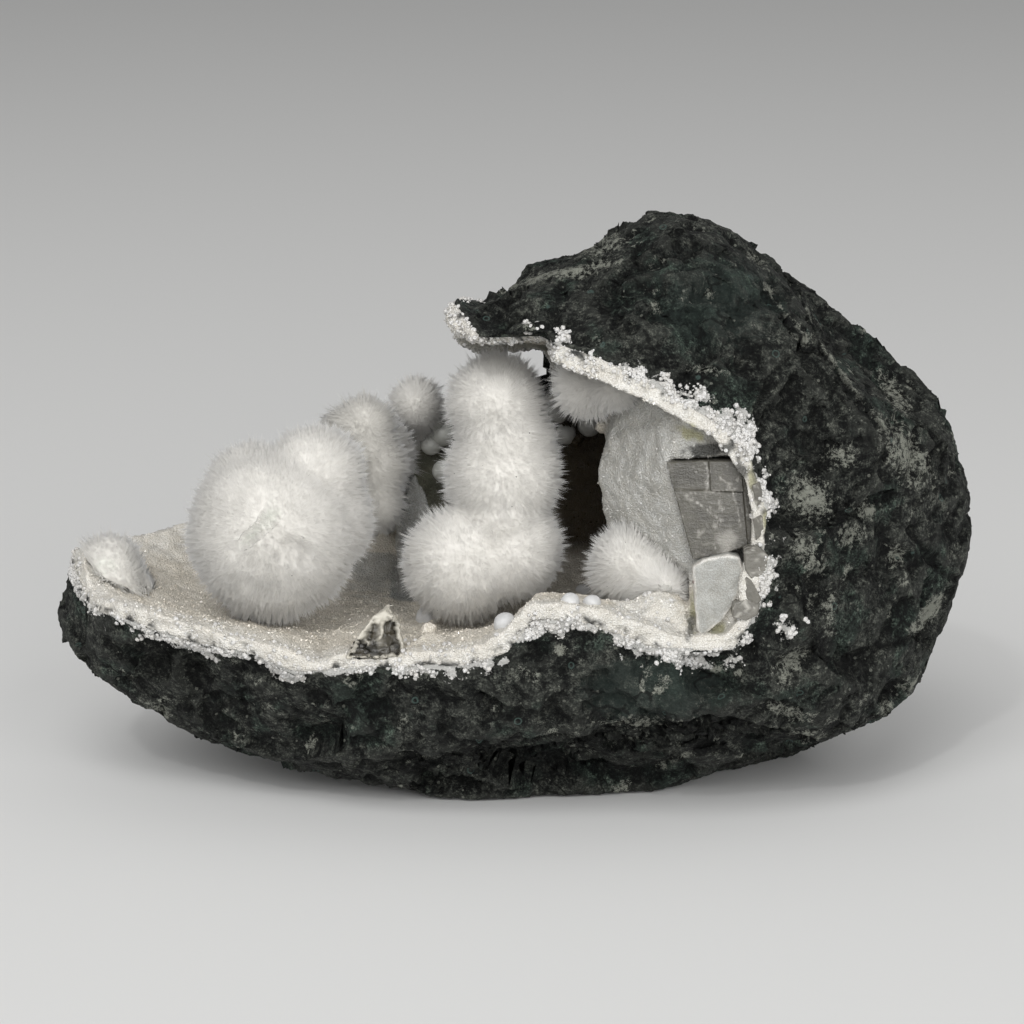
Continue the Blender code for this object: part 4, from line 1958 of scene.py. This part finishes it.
@dataclass
class Puffball:
    """A group of grown-together balls of fibres, as (x, y, z, radius), round their own centres."""

    node: Node
    lobes: tuple[Ball, ...]
    fibres: int
    seed: int
    dimples: tuple[Spot, ...] = ()
    worn: tuple[Spot, ...] = ()
    slump: Triple | None = None
    bridges: tuple[Ball, ...] = ()
    pits: tuple[Spot, ...] = ()
    dimple_depth: float = 1.5
    worn_depth: float = 0.5
    pit_depth: float = 1.2
    # Lower values dim the whole ball: a tone of its own, and painted shade for a ball that lies in shade.
    ball_tone_and_painted_shade: float = 0.5
    front_calm: float = 0.62
    tall_share: float = 0.2
    tall: float = 2.0
    fringe: float = 1.6
    core_depth: float = 1.5
    root_depth: float = 2.6
    fibre_radius: float = 0.10
    fibre_sides: int = 3
    tuft_fibres: int = 11
    tuft_size: float = 1.1
    tuft_pull: float = 0.58
    tuft_height: float = 0.70
    mess: float = 0.09
    strays: float = 0.08
    smoothing: int = 30
    growth: float = 0.45
    voxel: float = 0.55

    def build(self, finish: bpy.types.Material, bed: Nearest) -> None:
        """Builds the core and the fibres.

        Args:
            finish: Their material.
            bed: The surface of the crust that they grow on.
        """
        core = copy_of_node(self.node, f"{self.node.value}_core")
        self.bridge(core)
        remesh(core, self.voxel)
        modify(core, "SMOOTH", factor=0.5, iterations=self.smoothing)
        move_points(core, points_of(core) + normals_of(core) * self.growth)
        self.sink(core)
        self.dent(core, self.dimples, self.dimple_depth)
        self.dent(core, self.worn, self.worn_depth)
        self.dent(core, self.pits, self.pit_depth)
        self.fibre_piece(core, finish, bed)
        points = points_of(core) - normals_of(core) * self.core_depth
        fuzz = noise_at(points, 0.9, 2.5) * 0.10 + noise_at(points, 2.2, 6.5) * 0.16
        move_points(core, points + normals_of(core) * fuzz[:, None])
        # Painted shade: the core takes mostly the greyer foot colour.
        write_values(core, "tip", np.full(len(points), 0.25))
        write_values(core, "tone", np.full(len(points), self.ball_tone_and_painted_shade + 0.3))
        write_values(core, "wear", self.wear(points, normals_of(core)))
        finish_piece(core, finish, self.node)

    def bridge(self, form: bpy.types.Object) -> None:
        """Adds balls that fill the creases between the lobes.

        Args:
            form: The form of the puffball.
        """
        for x, y, z, radius in self.bridges:
            place = (x * MM, y * MM, z * MM)
            bpy.ops.mesh.primitive_ico_sphere_add(subdivisions=4, radius=radius * MM, location=place)
            ball = bpy.context.object
            apply_place(ball)
            select_only(form)
            ball.select_set(True)
            bpy.ops.object.join()

    def sink(self, form: bpy.types.Object) -> None:
        """Lowers the form from one place across to another, down to a share of its height.

        Args:
            form: The form of the puffball.
        """
        if self.slump is None:
            return
        start, end, share = self.slump
        points = points_of(form)
        bottom = points[:, 2].min()
        lowered = 1 - (1 - share) * smooth_step(points[:, 0], start, end)
        points[:, 2] = bottom + (points[:, 2] - bottom) * lowered - 2.5 * (1 - lowered)
        move_points(form, points)

    @staticmethod
    def dent(form: bpy.types.Object, spots: tuple[Spot, ...], depth: float) -> None:
        """Presses ragged hollows into the front of the form.

        Args:
            form: The form of the puffball.
            spots: Where the hollows are.
            depth: How deep they are.
        """
        if not spots:
            return
        points, normals = points_of(form), normals_of(form)
        ragged = noise_at(points, 2.6, 5.1) * 0.35
        share = smooth_step(deepest(spots, *VIEW.pixels(points)) + ragged, 0, 1)
        share *= smooth_step(normals @ VIEW.way(), 0.1, 0.4)
        move_points(form, points - normals * (share * depth)[:, None])

    def wear(self, points: np.ndarray, normals: np.ndarray) -> np.ndarray:
        """How worn the fibres are at each point, from 0 to 1.

        Args:
            points: The points.
            normals: Their normals.

        Returns:
            One number for each point.
        """
        if not self.worn:
            return np.zeros(len(points))
        ragged = 0.5 * noise_at(points, 0.8) + 0.35 * noise_at(points, 2.4, 7.0)
        share = deepest(self.worn, *VIEW.pixels(points)) + ragged
        return smooth_step(share, 0.05, 0.9) * (normals @ VIEW.way() > 0.1)

    def radial(self, places: np.ndarray) -> np.ndarray:
        """The way that a fibre grows at each place: straight from the centre of its ball.

        Args:
            places: The places, one to a row.

        Returns:
            One way for each place.
        """
        centres = np.array(self.lobes)[:, :3]
        sizes = np.array(self.lobes)[:, 3]
        offsets = places[:, None, :] - centres[None, :, :]
        distances = np.linalg.norm(offsets, axis=2)
        share = np.exp(np.clip((sizes - distances) / 1.2, -20, 20))
        ways = (offsets / distances[:, :, None] * share[:, :, None]).sum(axis=1)
        return unit(ways)

    def fibre_piece(self, form: bpy.types.Object, finish: bpy.types.Material, bed: Nearest) -> None:
        """Grows the fibres from inside the core to the form's surface.

        Args:
            form: The form whose surface the fibres reach.
            finish: Their material.
            bed: The surface of the crust that they grow on.
        """
        dice = np.random.default_rng(self.seed)
        count = self.fibres
        open_share = smooth_step(bed.distances(points_of(form)), 0.0, 0.5)
        tips, normals = scatter_on(form, count, dice, open_share)
        wear = self.wear(tips, normals)
        mess = dice.normal(0, self.mess, tips.shape) + dice.normal(0, 0.22, tips.shape) * wear[:, None]
        ways = unit(self.radial(tips) + mess)
        shading = unit(self.radial(tips) + normals)
        centres, centre_normals = scatter_on(form, count // self.tuft_fibres, dice, open_share)
        centres = centres + centre_normals * dice.normal(0, 0.18, len(centres))[:, None]
        tree = KDTree(len(centres))
        for number, centre in enumerate(centres.tolist()):
            tree.insert(centre, number)
        tree.balance()
        nearest = [tree.find(place) for place in tips.tolist()]
        own = np.array([found[1] for found in nearest])
        away = np.array([found[2] for found in nearest])
        roots = tips - ways * self.root_depth
        pull = self.tuft_pull * dice.uniform(0.4, 1.2, count)
        grown = self.tuft_height * dice.uniform(0.7, 1.3, len(centres))[own]
        near = 1 - np.clip(away / self.tuft_size, 0, 1)
        calm = 1 - self.front_calm * smooth_step(ways @ VIEW.way(), 0.30, 0.80)
        tall = (dice.random(len(centres)) < self.tall_share) * dice.uniform(0.5, self.tall, len(centres))
        height = (grown * (near - 0.5) + tall[own] * near) * calm
        stray = (dice.random(count) < self.strays) * dice.uniform(0.3, 1.5, count)
        height += dice.normal(0, 0.16, count) + stray - wear * dice.uniform(0.0, 0.4, count)
        low = smooth_step(bed.distances(tips), 3.2, 0.6)
        height += self.fringe * low * dice.random(count) ** 1.5
        tips = tips + (centres[own] - tips) * (pull * calm)[:, None] + ways * height[:, None]
        grown = tips - roots
        fibre = Stencil.cone(self.fibre_sides)
        corners = len(fibre.points)
        piece = fibre.repeat(
            f"{self.node.value}_fibres",
            roots,
            unit(grown),
            self.fibre_radius * dice.uniform(0.7, 1.35, count),
            np.linalg.norm(grown, axis=1),
            dice.uniform(0, FULL_TURN, count),
        )
        # The feet of each fibre take the painted shade of the foot colour, and its point takes the tip
        # colour.
        write_values(piece, "tip", np.tile([0.0, 0.0, 0.0, 1.0], count))
        tone = 0.25 * dice.random(len(centres))[own] + 0.75 * dice.random(count)
        write_values(piece, "tone", np.repeat(self.ball_tone_and_painted_shade + 0.5 * tone, corners))
        write_values(piece, "wear", np.repeat(wear, corners))
        finish_piece(piece, finish, self.node)
        own_side = normals_of(piece)
        soft = unit(np.repeat(shading, corners, axis=0) + own_side * 0.6)
        piece.data.normals_split_custom_set_from_vertices(soft.tolist())


def puffballs() -> list[Puffball]:
    """All the puffballs of the specimen."""
    return [
        Puffball(
            Node.COLUMN,
            (
                (-2.9, -11.4, 77.5, 10.3), (0.0, -11.4, 71.0, 8.8), (-1.6, -11.4, 63.5, 11.6),
                (-0.8, -12.4, 49.0, 11.0), (-9.8, -13.4, 46.2, 11.6),
            ),
            43_000,
            31,
            tuft_size=1.2,
            tuft_height=0.8,
            bridges=((-2.0, -14.5, 56.5, 8.6), (-1.8, -12.6, 71.0, 9.4), (-6.0, -13.5, 54.0, 7.0)),
        ),
        Puffball(
            Node.LEFT_FRONT,
            (
                (-46.5, -18.4, 53.2, 16.8), (-38.4, -13.4, 63.6, 10.4), (-50.8, -13.4, 60.4, 10.3),
                (-38.7, -14.4, 55.0, 11.5),
            ),
            48_000,
            32,
            dimples=(Spot(292, 550, 50, 20, 32, 0.9), Spot(258, 592, 50, 16, 6, 0.6)),
            worn=(Spot(271, 515, 12, 19, 20), Spot(252, 534, 26, 8, -40, 0.9)),
            pits=(Spot(269, 518, 9, 14, 20), Spot(253, 534, 22, 6, -40, 0.8)),
            tuft_pull=0.50,
            tuft_height=0.58,
            tall=1.6,
            fringe=2.4,
        ),
        Puffball(
            Node.LEFT_REAR,
            (
                (-29.6, 5.5, 69.9, 6.4), (-28.2, 5.5, 62.0, 7.2), (-28.2, 4.5, 54.6, 6.3),
                (-28.7, 15.6, 62.0, 8.8),
            ),
            25_000,
            33,
            # Painted shade: this ball lies in shade and is painted dimmer.
            ball_tone_and_painted_shade=-0.2,
            smoothing=50,
            growth=0.9,
            tuft_height=0.75,
            bridges=((-33.8, 4.5, 68.6, 5.0), (-30.0, 3.5, 66.0, 6.0), (-31.0, 5.0, 58.0, 6.8)),
        ),
        Puffball(Node.BACK, ((-19.8, 24.6, 70.8, 6.0), (-20.0, 29.6, 67.4, 6.0)), 10_000, 34),
        Puffball(
            Node.RIGHT,
            ((23.0, -25.4, 48.4, 8.2), (30.0, -31.4, 44.2, 7.0)),
            18_000,
            35,
            tuft_height=0.8,
            strays=0.12,
            smoothing=50,
            growth=0.7,
            bridges=((26.6, -28.6, 46.6, 6.8),),
        ),
        Puffball(
            Node.CEILING, ((14.4, -21.4, 83.0, 6.6), (19.4, -26.4, 84.4, 5.6)), 10_000, 36,
            tuft_height=0.8,
        ),
        Puffball(
            Node.FAR_LEFT, ((-79.8, -7.5, 41.2, 9.4), (-71.7, -7.5, 39.0, 7.0)), 8_000, 37,
            worn=(Spot(104, 566, 20, 14, 0, 0.6),), slump=(-76.0, -67.5, 0.0), smoothing=40, growth=0.8,
            core_depth=1.2, front_calm=0.15, tuft_height=0.95, fringe=2.4, ball_tone_and_painted_shade=0.2,
        ),
    ]


# The calcites.


@dataclass
class CalciteRight:
    """The brown calcite: blocks between its cleavages that stand a little before each other."""

    level: Triple = (37.0, -41.0, 66.4)
    level_facing: Triple = (0.03, 0.0, 1.0)
    upright: Triple = (37.2, -41.0, 66.0)
    upright_facing: Triple = (1.0, 0.0, 0.06)
    right_edge: Triple = (43.3, -41.0, 66.0)
    right_facing: Triple = (1.0, 0.0, 0.10)
    steps: Triple = (0.7, 0.35, 0.5)
    edge: float = 0.16
    cuts: int = 20
    scratches: tuple[Line, ...] = (
        ((686, 498), (698, 503), (710, 512), (722, 521)),
        ((705, 462), (709, 474), (707, 488)),
        ((733, 492), (738, 512), (741, 530)),
        ((718, 476), (726, 482), (733, 486)),
        ((672, 497), (700, 493), (737, 489)),
    )
    haze: Spot = Spot(727, 541, 15, 17, 0)

    def planes(self) -> tuple[tuple[Triple, Triple], ...]:
        """The cleavages: the level one, the upright one and the last one to the right."""
        return (
            (self.level, self.level_facing),
            (self.upright, self.upright_facing),
            (self.right_edge, self.right_facing),
        )

    def build(self, finish: bpy.types.Material) -> bpy.types.Object:
        """Builds and dresses the crystal.

        Args:
            finish: Its material.

        Returns:
            The crystal.
        """
        crystal = copy_of_node(Node.CALCITE_RIGHT, "calcite_right_crystal")
        for place, facing in self.planes():
            edit(crystal)
            bpy.ops.mesh.bisect(plane_co=tuple(value * MM for value in place), plane_no=facing)
            close_edit()
        upper_right, lower, right = self.steps
        self.step(crystal, 1, 1, -1, upper_right)
        self.step(crystal, -1, 0, -1, lower)
        self.step(crystal, 0, 0, 1, right)
        facet(crystal, self.edge, self.cuts)
        write_values(crystal, "coat", self.milk(points_of(crystal)))
        return finish_piece(crystal, finish, Node.CALCITE_RIGHT, smooth=False)

    def step(self, crystal: bpy.types.Object, above: int, beside: int, outside: int, depth: float) -> None:
        """Brings one block's front forward.

        Args:
            crystal: The crystal.
            above: 1 for above the level cleavage, -1 for below it, and 0 for both.
            beside: 1 for right of the upright cleavage, -1 for left of it, and 0 for both.
            outside: 1 for right of the last cleavage, -1 for left of it, and 0 for both.
            depth: How far the block comes forward.
        """
        edit(crystal)
        bpy.ops.mesh.select_all(action="DESELECT")
        bpy.ops.mesh.select_mode(type="FACE")
        close_edit()
        planes = tuple(zip(self.planes(), (above, beside, outside)))
        for face in crystal.data.polygons:
            middle = np.array(face.center) / MM
            sides = [
                (middle - np.array(place)) @ np.array(facing) * way for (place, facing), way in planes
            ]
            face.select = min(sides) >= 0 and face.normal.y < -0.6
        bpy.ops.object.mode_set(mode="EDIT")
        bpy.ops.mesh.extrude_region_move(TRANSFORM_OT_translate={"value": (0, -depth * MM, 0)})
        close_edit()

    def milk(self, points: np.ndarray) -> np.ndarray:
        """Where the crystal is scratched and milky, from 0 to 1.

        Args:
            points: The points of the crystal.

        Returns:
            One number for each point.
        """
        across, down = VIEW.pixels(points)
        milk = np.zeros(len(points))
        for scratch in self.scratches:
            width = 1.5 + 1.6 * noise_at(points, 0.8, 4.2)
            line = 1 - path_distance(scratch, across, down) / np.maximum(width, 0.6)
            milk = np.maximum(milk, np.clip(line, 0, 1) * (0.28 + 0.6 * noise_at(points, 0.5, 1.9)))
        fog = smooth_step(noise_at(points, 1.6, 5.6) + 0.7 * noise_at(points, 0.45, 2.8), 0.42, 0.7)
        haze = smooth_step(self.haze.share(across, down) + 0.5 * noise_at(points, 2.0, 3.4), 0.1, 0.7)
        return np.clip(np.maximum(milk, np.maximum(fog * 0.22, haze * 0.26)), 0, 1)


@dataclass
class CalciteFront:
    """The dark crystal in the front rim, which shows through ragged gaps in its pale coating."""

    voxel: float = 0.32
    windows: tuple[Spot, ...] = (
        Spot(361, 650, 14, 12, -25, 1.5), Spot(392, 638, 13, 24, 4, 1.7), Spot(376, 650, 16, 12, 0, 1.5),
        Spot(374, 634, 9, 16, 25, 1.0),
    )
    # Painted highlight: a pale upright streak in the dark window, where part of the coating stays and the
    # hollow is shallower.
    streak: Spot = Spot(381, 634, 4, 20, 6)
    hollow: float = 1.2

    def build(self, finish: bpy.types.Material) -> bpy.types.Object:
        """Builds and dresses the crystal.

        Args:
            finish: Its material.

        Returns:
            The crystal.
        """
        crystal = copy_of_node(Node.CALCITE_FRONT, "calcite_front_crystal")
        remesh(crystal, self.voxel)
        Relief(3.0, 1.6, "IMPROVED_PERLIN", depth=2).press(crystal)
        points, normals = points_of(crystal), normals_of(crystal)
        across, down = VIEW.pixels(points)
        ragged = 0.4 * noise_at(points, 1.5, 3.3) + 0.3 * noise_at(points, 0.7, 6.4)
        front = smooth_step(normals @ VIEW.way(), 0.0, 0.4)
        inside = smooth_step(deepest(self.windows, across, down) + ragged, 0.05, 0.45) * front
        streak = smooth_step(self.streak.share(across, down) + ragged, 0.0, 0.6)
        lump = 0.5 * noise_at(points, 1.1, 7.7) + 0.4 * noise_at(points, 2.4, 1.2)
        depth = self.hollow * inside * (1 + lump) * (1 - 0.5 * streak) + 0.25 * noise_at(points, 0.9, 2.1)
        move_points(crystal, points - normals * depth[:, None])
        # The streak keeps part of the pale coating as a painted highlight.
        write_values(crystal, "coat", np.clip(1 - inside * (1 - 0.3 * streak), 0, 1) * 0.92)
        return finish_piece(crystal, finish, Node.CALCITE_FRONT)


@dataclass(frozen=True)
class Splinter:
    """A flat crystal piece seen in the photograph: its corners in pixels and its thickness."""

    corners: Line
    lift: float
    thickness: float
    tilt: float = 0.0

    def mesh(self, name: str, crust: Nearest) -> bpy.types.Object:
        """Builds it where it stands on the crust.

        Args:
            name: The new object's name.
            crust: The surface of the dressed crust.

        Returns:
            The new object.
        """
        middle = np.mean(np.array(self.corners), axis=0)
        base = VIEW.seen(crust, middle[0], middle[1], self.lift)
        front = []
        for across, down in self.corners:
            y = base[1] + self.tilt * (across - middle[0]) / VIEW.scale_at(base)
            front.append(VIEW.point_at(across, down, y))
        front = np.array(front)
        back = front + np.array([0.0, self.thickness, 0.0])
        obj = new_mesh_object(name, np.vstack([front, back]), np.zeros((0, 3), dtype=int))
        edit(obj)
        bpy.ops.mesh.convex_hull()
        bpy.ops.mesh.normals_make_consistent(inside=False)
        close_edit()
        return obj


PLATE = Splinter(
    (
        (693, 567), (703, 560), (728, 555), (740, 558), (744, 572), (738, 595), (731, 608), (721, 622),
        (702, 637), (697, 630),
    ),
    0.9, 4.5, -0.12,
)
WEDGES = (
    Splinter(((734, 487), (741, 485), (744, 509), (738, 513)), 0.6, 4.0, 0.1),
    Splinter(((739, 504), (747, 499), (751, 528), (744, 536)), 0.9, 3.5, 0.3),
    Splinter(((745, 511), (753, 508), (758, 538), (749, 542)), 0.5, 3.5, 0.5),
    Splinter(((741, 533), (751, 537), (748, 552), (739, 546)), 0.9, 3.5, 0.1),
    Splinter(((753, 520), (762, 515), (765, 532), (756, 541)), 0.6, 3.0, 0.7),
    Splinter(((744, 551), (757, 545), (769, 556), (766, 574), (752, 580), (745, 570)), 0.9, 4.0, 0.3),
    Splinter(((745, 575), (752, 581), (762, 600), (757, 605), (748, 603), (742, 588)), 0.5, 4.0, -0.3),
    Splinter(((733, 604), (747, 600), (760, 603), (758, 615), (746, 621), (732, 617)), 0.9, 4.0, 0.1),
    Splinter(((711, 552), (728, 526), (742, 547), (739, 557), (716, 559)), 1.3, 4.5, 0.1),
    Splinter(((752, 486), (760, 482), (764, 500), (757, 507)), 0.5, 3.0, 0.6),
)


@dataclass
class Splinters:
    """The pale plate below the brown calcite, and the broken clear wedges round it."""

    edge: float = 0.2
    voxel: float = 0.30
    cuts: int = 5
    plate_tint: Colour = (0.40, 0.405, 0.39)
    rim_tint: Colour = (0.70, 0.69, 0.66)
    rust_tint: Colour = (0.16, 0.05, 0.03)
    rust_pixel: tuple[float, float] = (692, 582)
    haze: float = 0.12
    milkiness: float = 0.5

    def build(self, druse: bpy.types.Material, calcite: bpy.types.Material, crust: Nearest) -> None:
        """Builds the plate and the wedges.

        Args:
            druse: The plate's material.
            calcite: The wedges' material.
            crust: The surface of the dressed crust.
        """
        plate = PLATE.mesh("druse_plate", crust)
        facet(plate, self.edge, 0)
        remesh(plate, self.voxel)
        Relief(3.0, 0.7, "IMPROVED_PERLIN", depth=2).press(plate)
        Relief(0.9, 0.14, "VORONOI_F1").press(plate)
        points = points_of(plate)
        across, down = VIEW.pixels(points)
        outline = (*PLATE.corners, PLATE.corners[0])
        rim = smooth_step(path_distance(outline, across, down) + 1.5 * noise_at(points, 1.0), 2.8, 0.8)
        uneven = 1 + 0.14 * noise_at(points, 2.2, 4.4)
        colour = np.tile(self.plate_tint, (len(points), 1)) * uneven[:, None]
        colour += (np.array(self.rim_tint) - colour) * rim[:, None]
        rust_across, rust_down = self.rust_pixel
        rust = smooth_step(np.hypot(across - rust_across, down - rust_down), 3.0, 1.0)
        colour += (np.array(self.rust_tint) - colour) * rust[:, None]
        write_colours(plate, "tint", np.clip(colour, 0, 0.9))
        finish_piece(plate, druse, Node.CRUST)

        made = [wedge.mesh(f"wedge_{number}", crust) for number, wedge in enumerate(WEDGES)]
        wedges = join(made, "calcite_wedges")
        facet(wedges, self.edge, self.cuts)
        points = points_of(wedges)
        milk = smooth_step(noise_at(points, 1.2, 3.1) + 0.7 * noise_at(points, 0.5, 8.8), 0.2, 0.8)
        write_values(wedges, "coat", self.haze + milk * self.milkiness)
        finish_piece(wedges, calcite, Node.CRUST, smooth=False)


# The stage.


@dataclass(frozen=True)
class Lamp:
    """One soft round light that faces the specimen, with its place and size in metres."""

    name: str
    place: Triple
    size: float
    power: float
    aim: Triple = (0.0, 0.0, 0.05)

    def build(self) -> None:
        """Adds the light."""
        offset = np.array(self.place) - np.array(self.aim)
        flat = math.hypot(offset[0], offset[1])
        turn = (math.atan2(flat, offset[2]), 0.0, math.atan2(offset[1], offset[0]) + math.pi / 2)
        bpy.ops.object.light_add(type="AREA", location=self.place, rotation=turn)
        light = bpy.context.object
        light.name = self.name
        light.data.shape = "DISK"
        light.data.size = self.size
        light.data.energy = self.power


@dataclass
class Stage:
    """A plain pale floor and soft studio light."""

    floor_radius: float = 6000.0
    floor_corners: int = 96
    lamps: tuple[Lamp, ...] = (
        Lamp("key", (-0.60, -1.95, 1.95), 2.20, 42.0),
        Lamp("fill", (1.15, -2.05, 1.05), 1.60, 20.0),
        Lamp("low", (0.25, -2.25, 0.42), 1.30, 15.0),
        Lamp("spark", (-0.55, -1.90, 1.60), 0.14, 6.0),
    )
    world: float = 0.34

    def build(self) -> None:
        """Adds the floor and the lights."""
        deselect_all()
        bpy.ops.mesh.primitive_circle_add(
            vertices=self.floor_corners, radius=self.floor_radius * MM, fill_type="NGON"
        )
        floor = bpy.context.object
        floor.name = "floor"
        floor.data.materials.append(StageFinish().material())
        for lamp in self.lamps:
            lamp.build()
        world = bpy.data.worlds.new("studio")
        world.use_nodes = True
        background = world.node_tree.nodes["Background"]
        background.inputs["Color"].default_value = (1.0, 1.0, 1.0, 1.0)
        background.inputs["Strength"].default_value = self.world
        bpy.context.scene.world = world
        bpy.context.scene.view_settings.view_transform = "Standard"


def main() -> None:
    """Builds the specimen, its camera and its stage."""
    logging.basicConfig(level=logging.INFO, format="%(message)s")
    VIEW.build()
    Stage().build()
    effects = Effects()
    rock_form = Nearest(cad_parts[Node.BASALT.value])
    crust_form = Nearest(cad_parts[Node.CRUST.value])

    druse = DruseFinish().material(effects)
    rock = BasaltMatrix().build(BasaltFinish().material(effects), crust_form)
    skin = Nearest(rock, crust_form.distances(points_of(rock)) > 1.3)
    lining = QuartzCrust()
    crust = lining.build(druse, rock_form, skin)
    Popcorn().build(rock, crust, druse, lining.edge(crust, skin))
    facets = DruseFinish("quartz_points", grain=2.5, relief=0.05, roughness=0.10, specular=0.9)
    lining.crystals(crust, facets.material(effects), rock_form, skin)
    surface = Nearest(crust)
    Beads().build(BeadFinish().material(), lining.tints, surface, skin)

    okenite = OkeniteFinish().material(effects)
    for ball in puffballs():
        ball.build(okenite, crust_form)

    brown = CalciteFinish(
        "calcite_brown", (0.100, 0.093, 0.074), (0.058, 0.053, 0.041), (0.27, 0.26, 0.225), clearness=0.2
    ).material()
    dark = CalciteFinish(
        "calcite_dark", (0.055, 0.047, 0.032), (0.006, 0.006, 0.005), (0.26, 0.24, 0.18),
        coat=(0.62, 0.585, 0.50), veils=0.3, clearness=0.1,
    ).material()
    CalciteRight().build(brown)
    CalciteFront().build(dark)
    plain = DruseFinish("quartz_plate", grain=0.30, relief=0.07, roughness=0.3)
    Splinters().build(plain.material(effects), brown, surface)


if __name__ == "__main__":
    main()
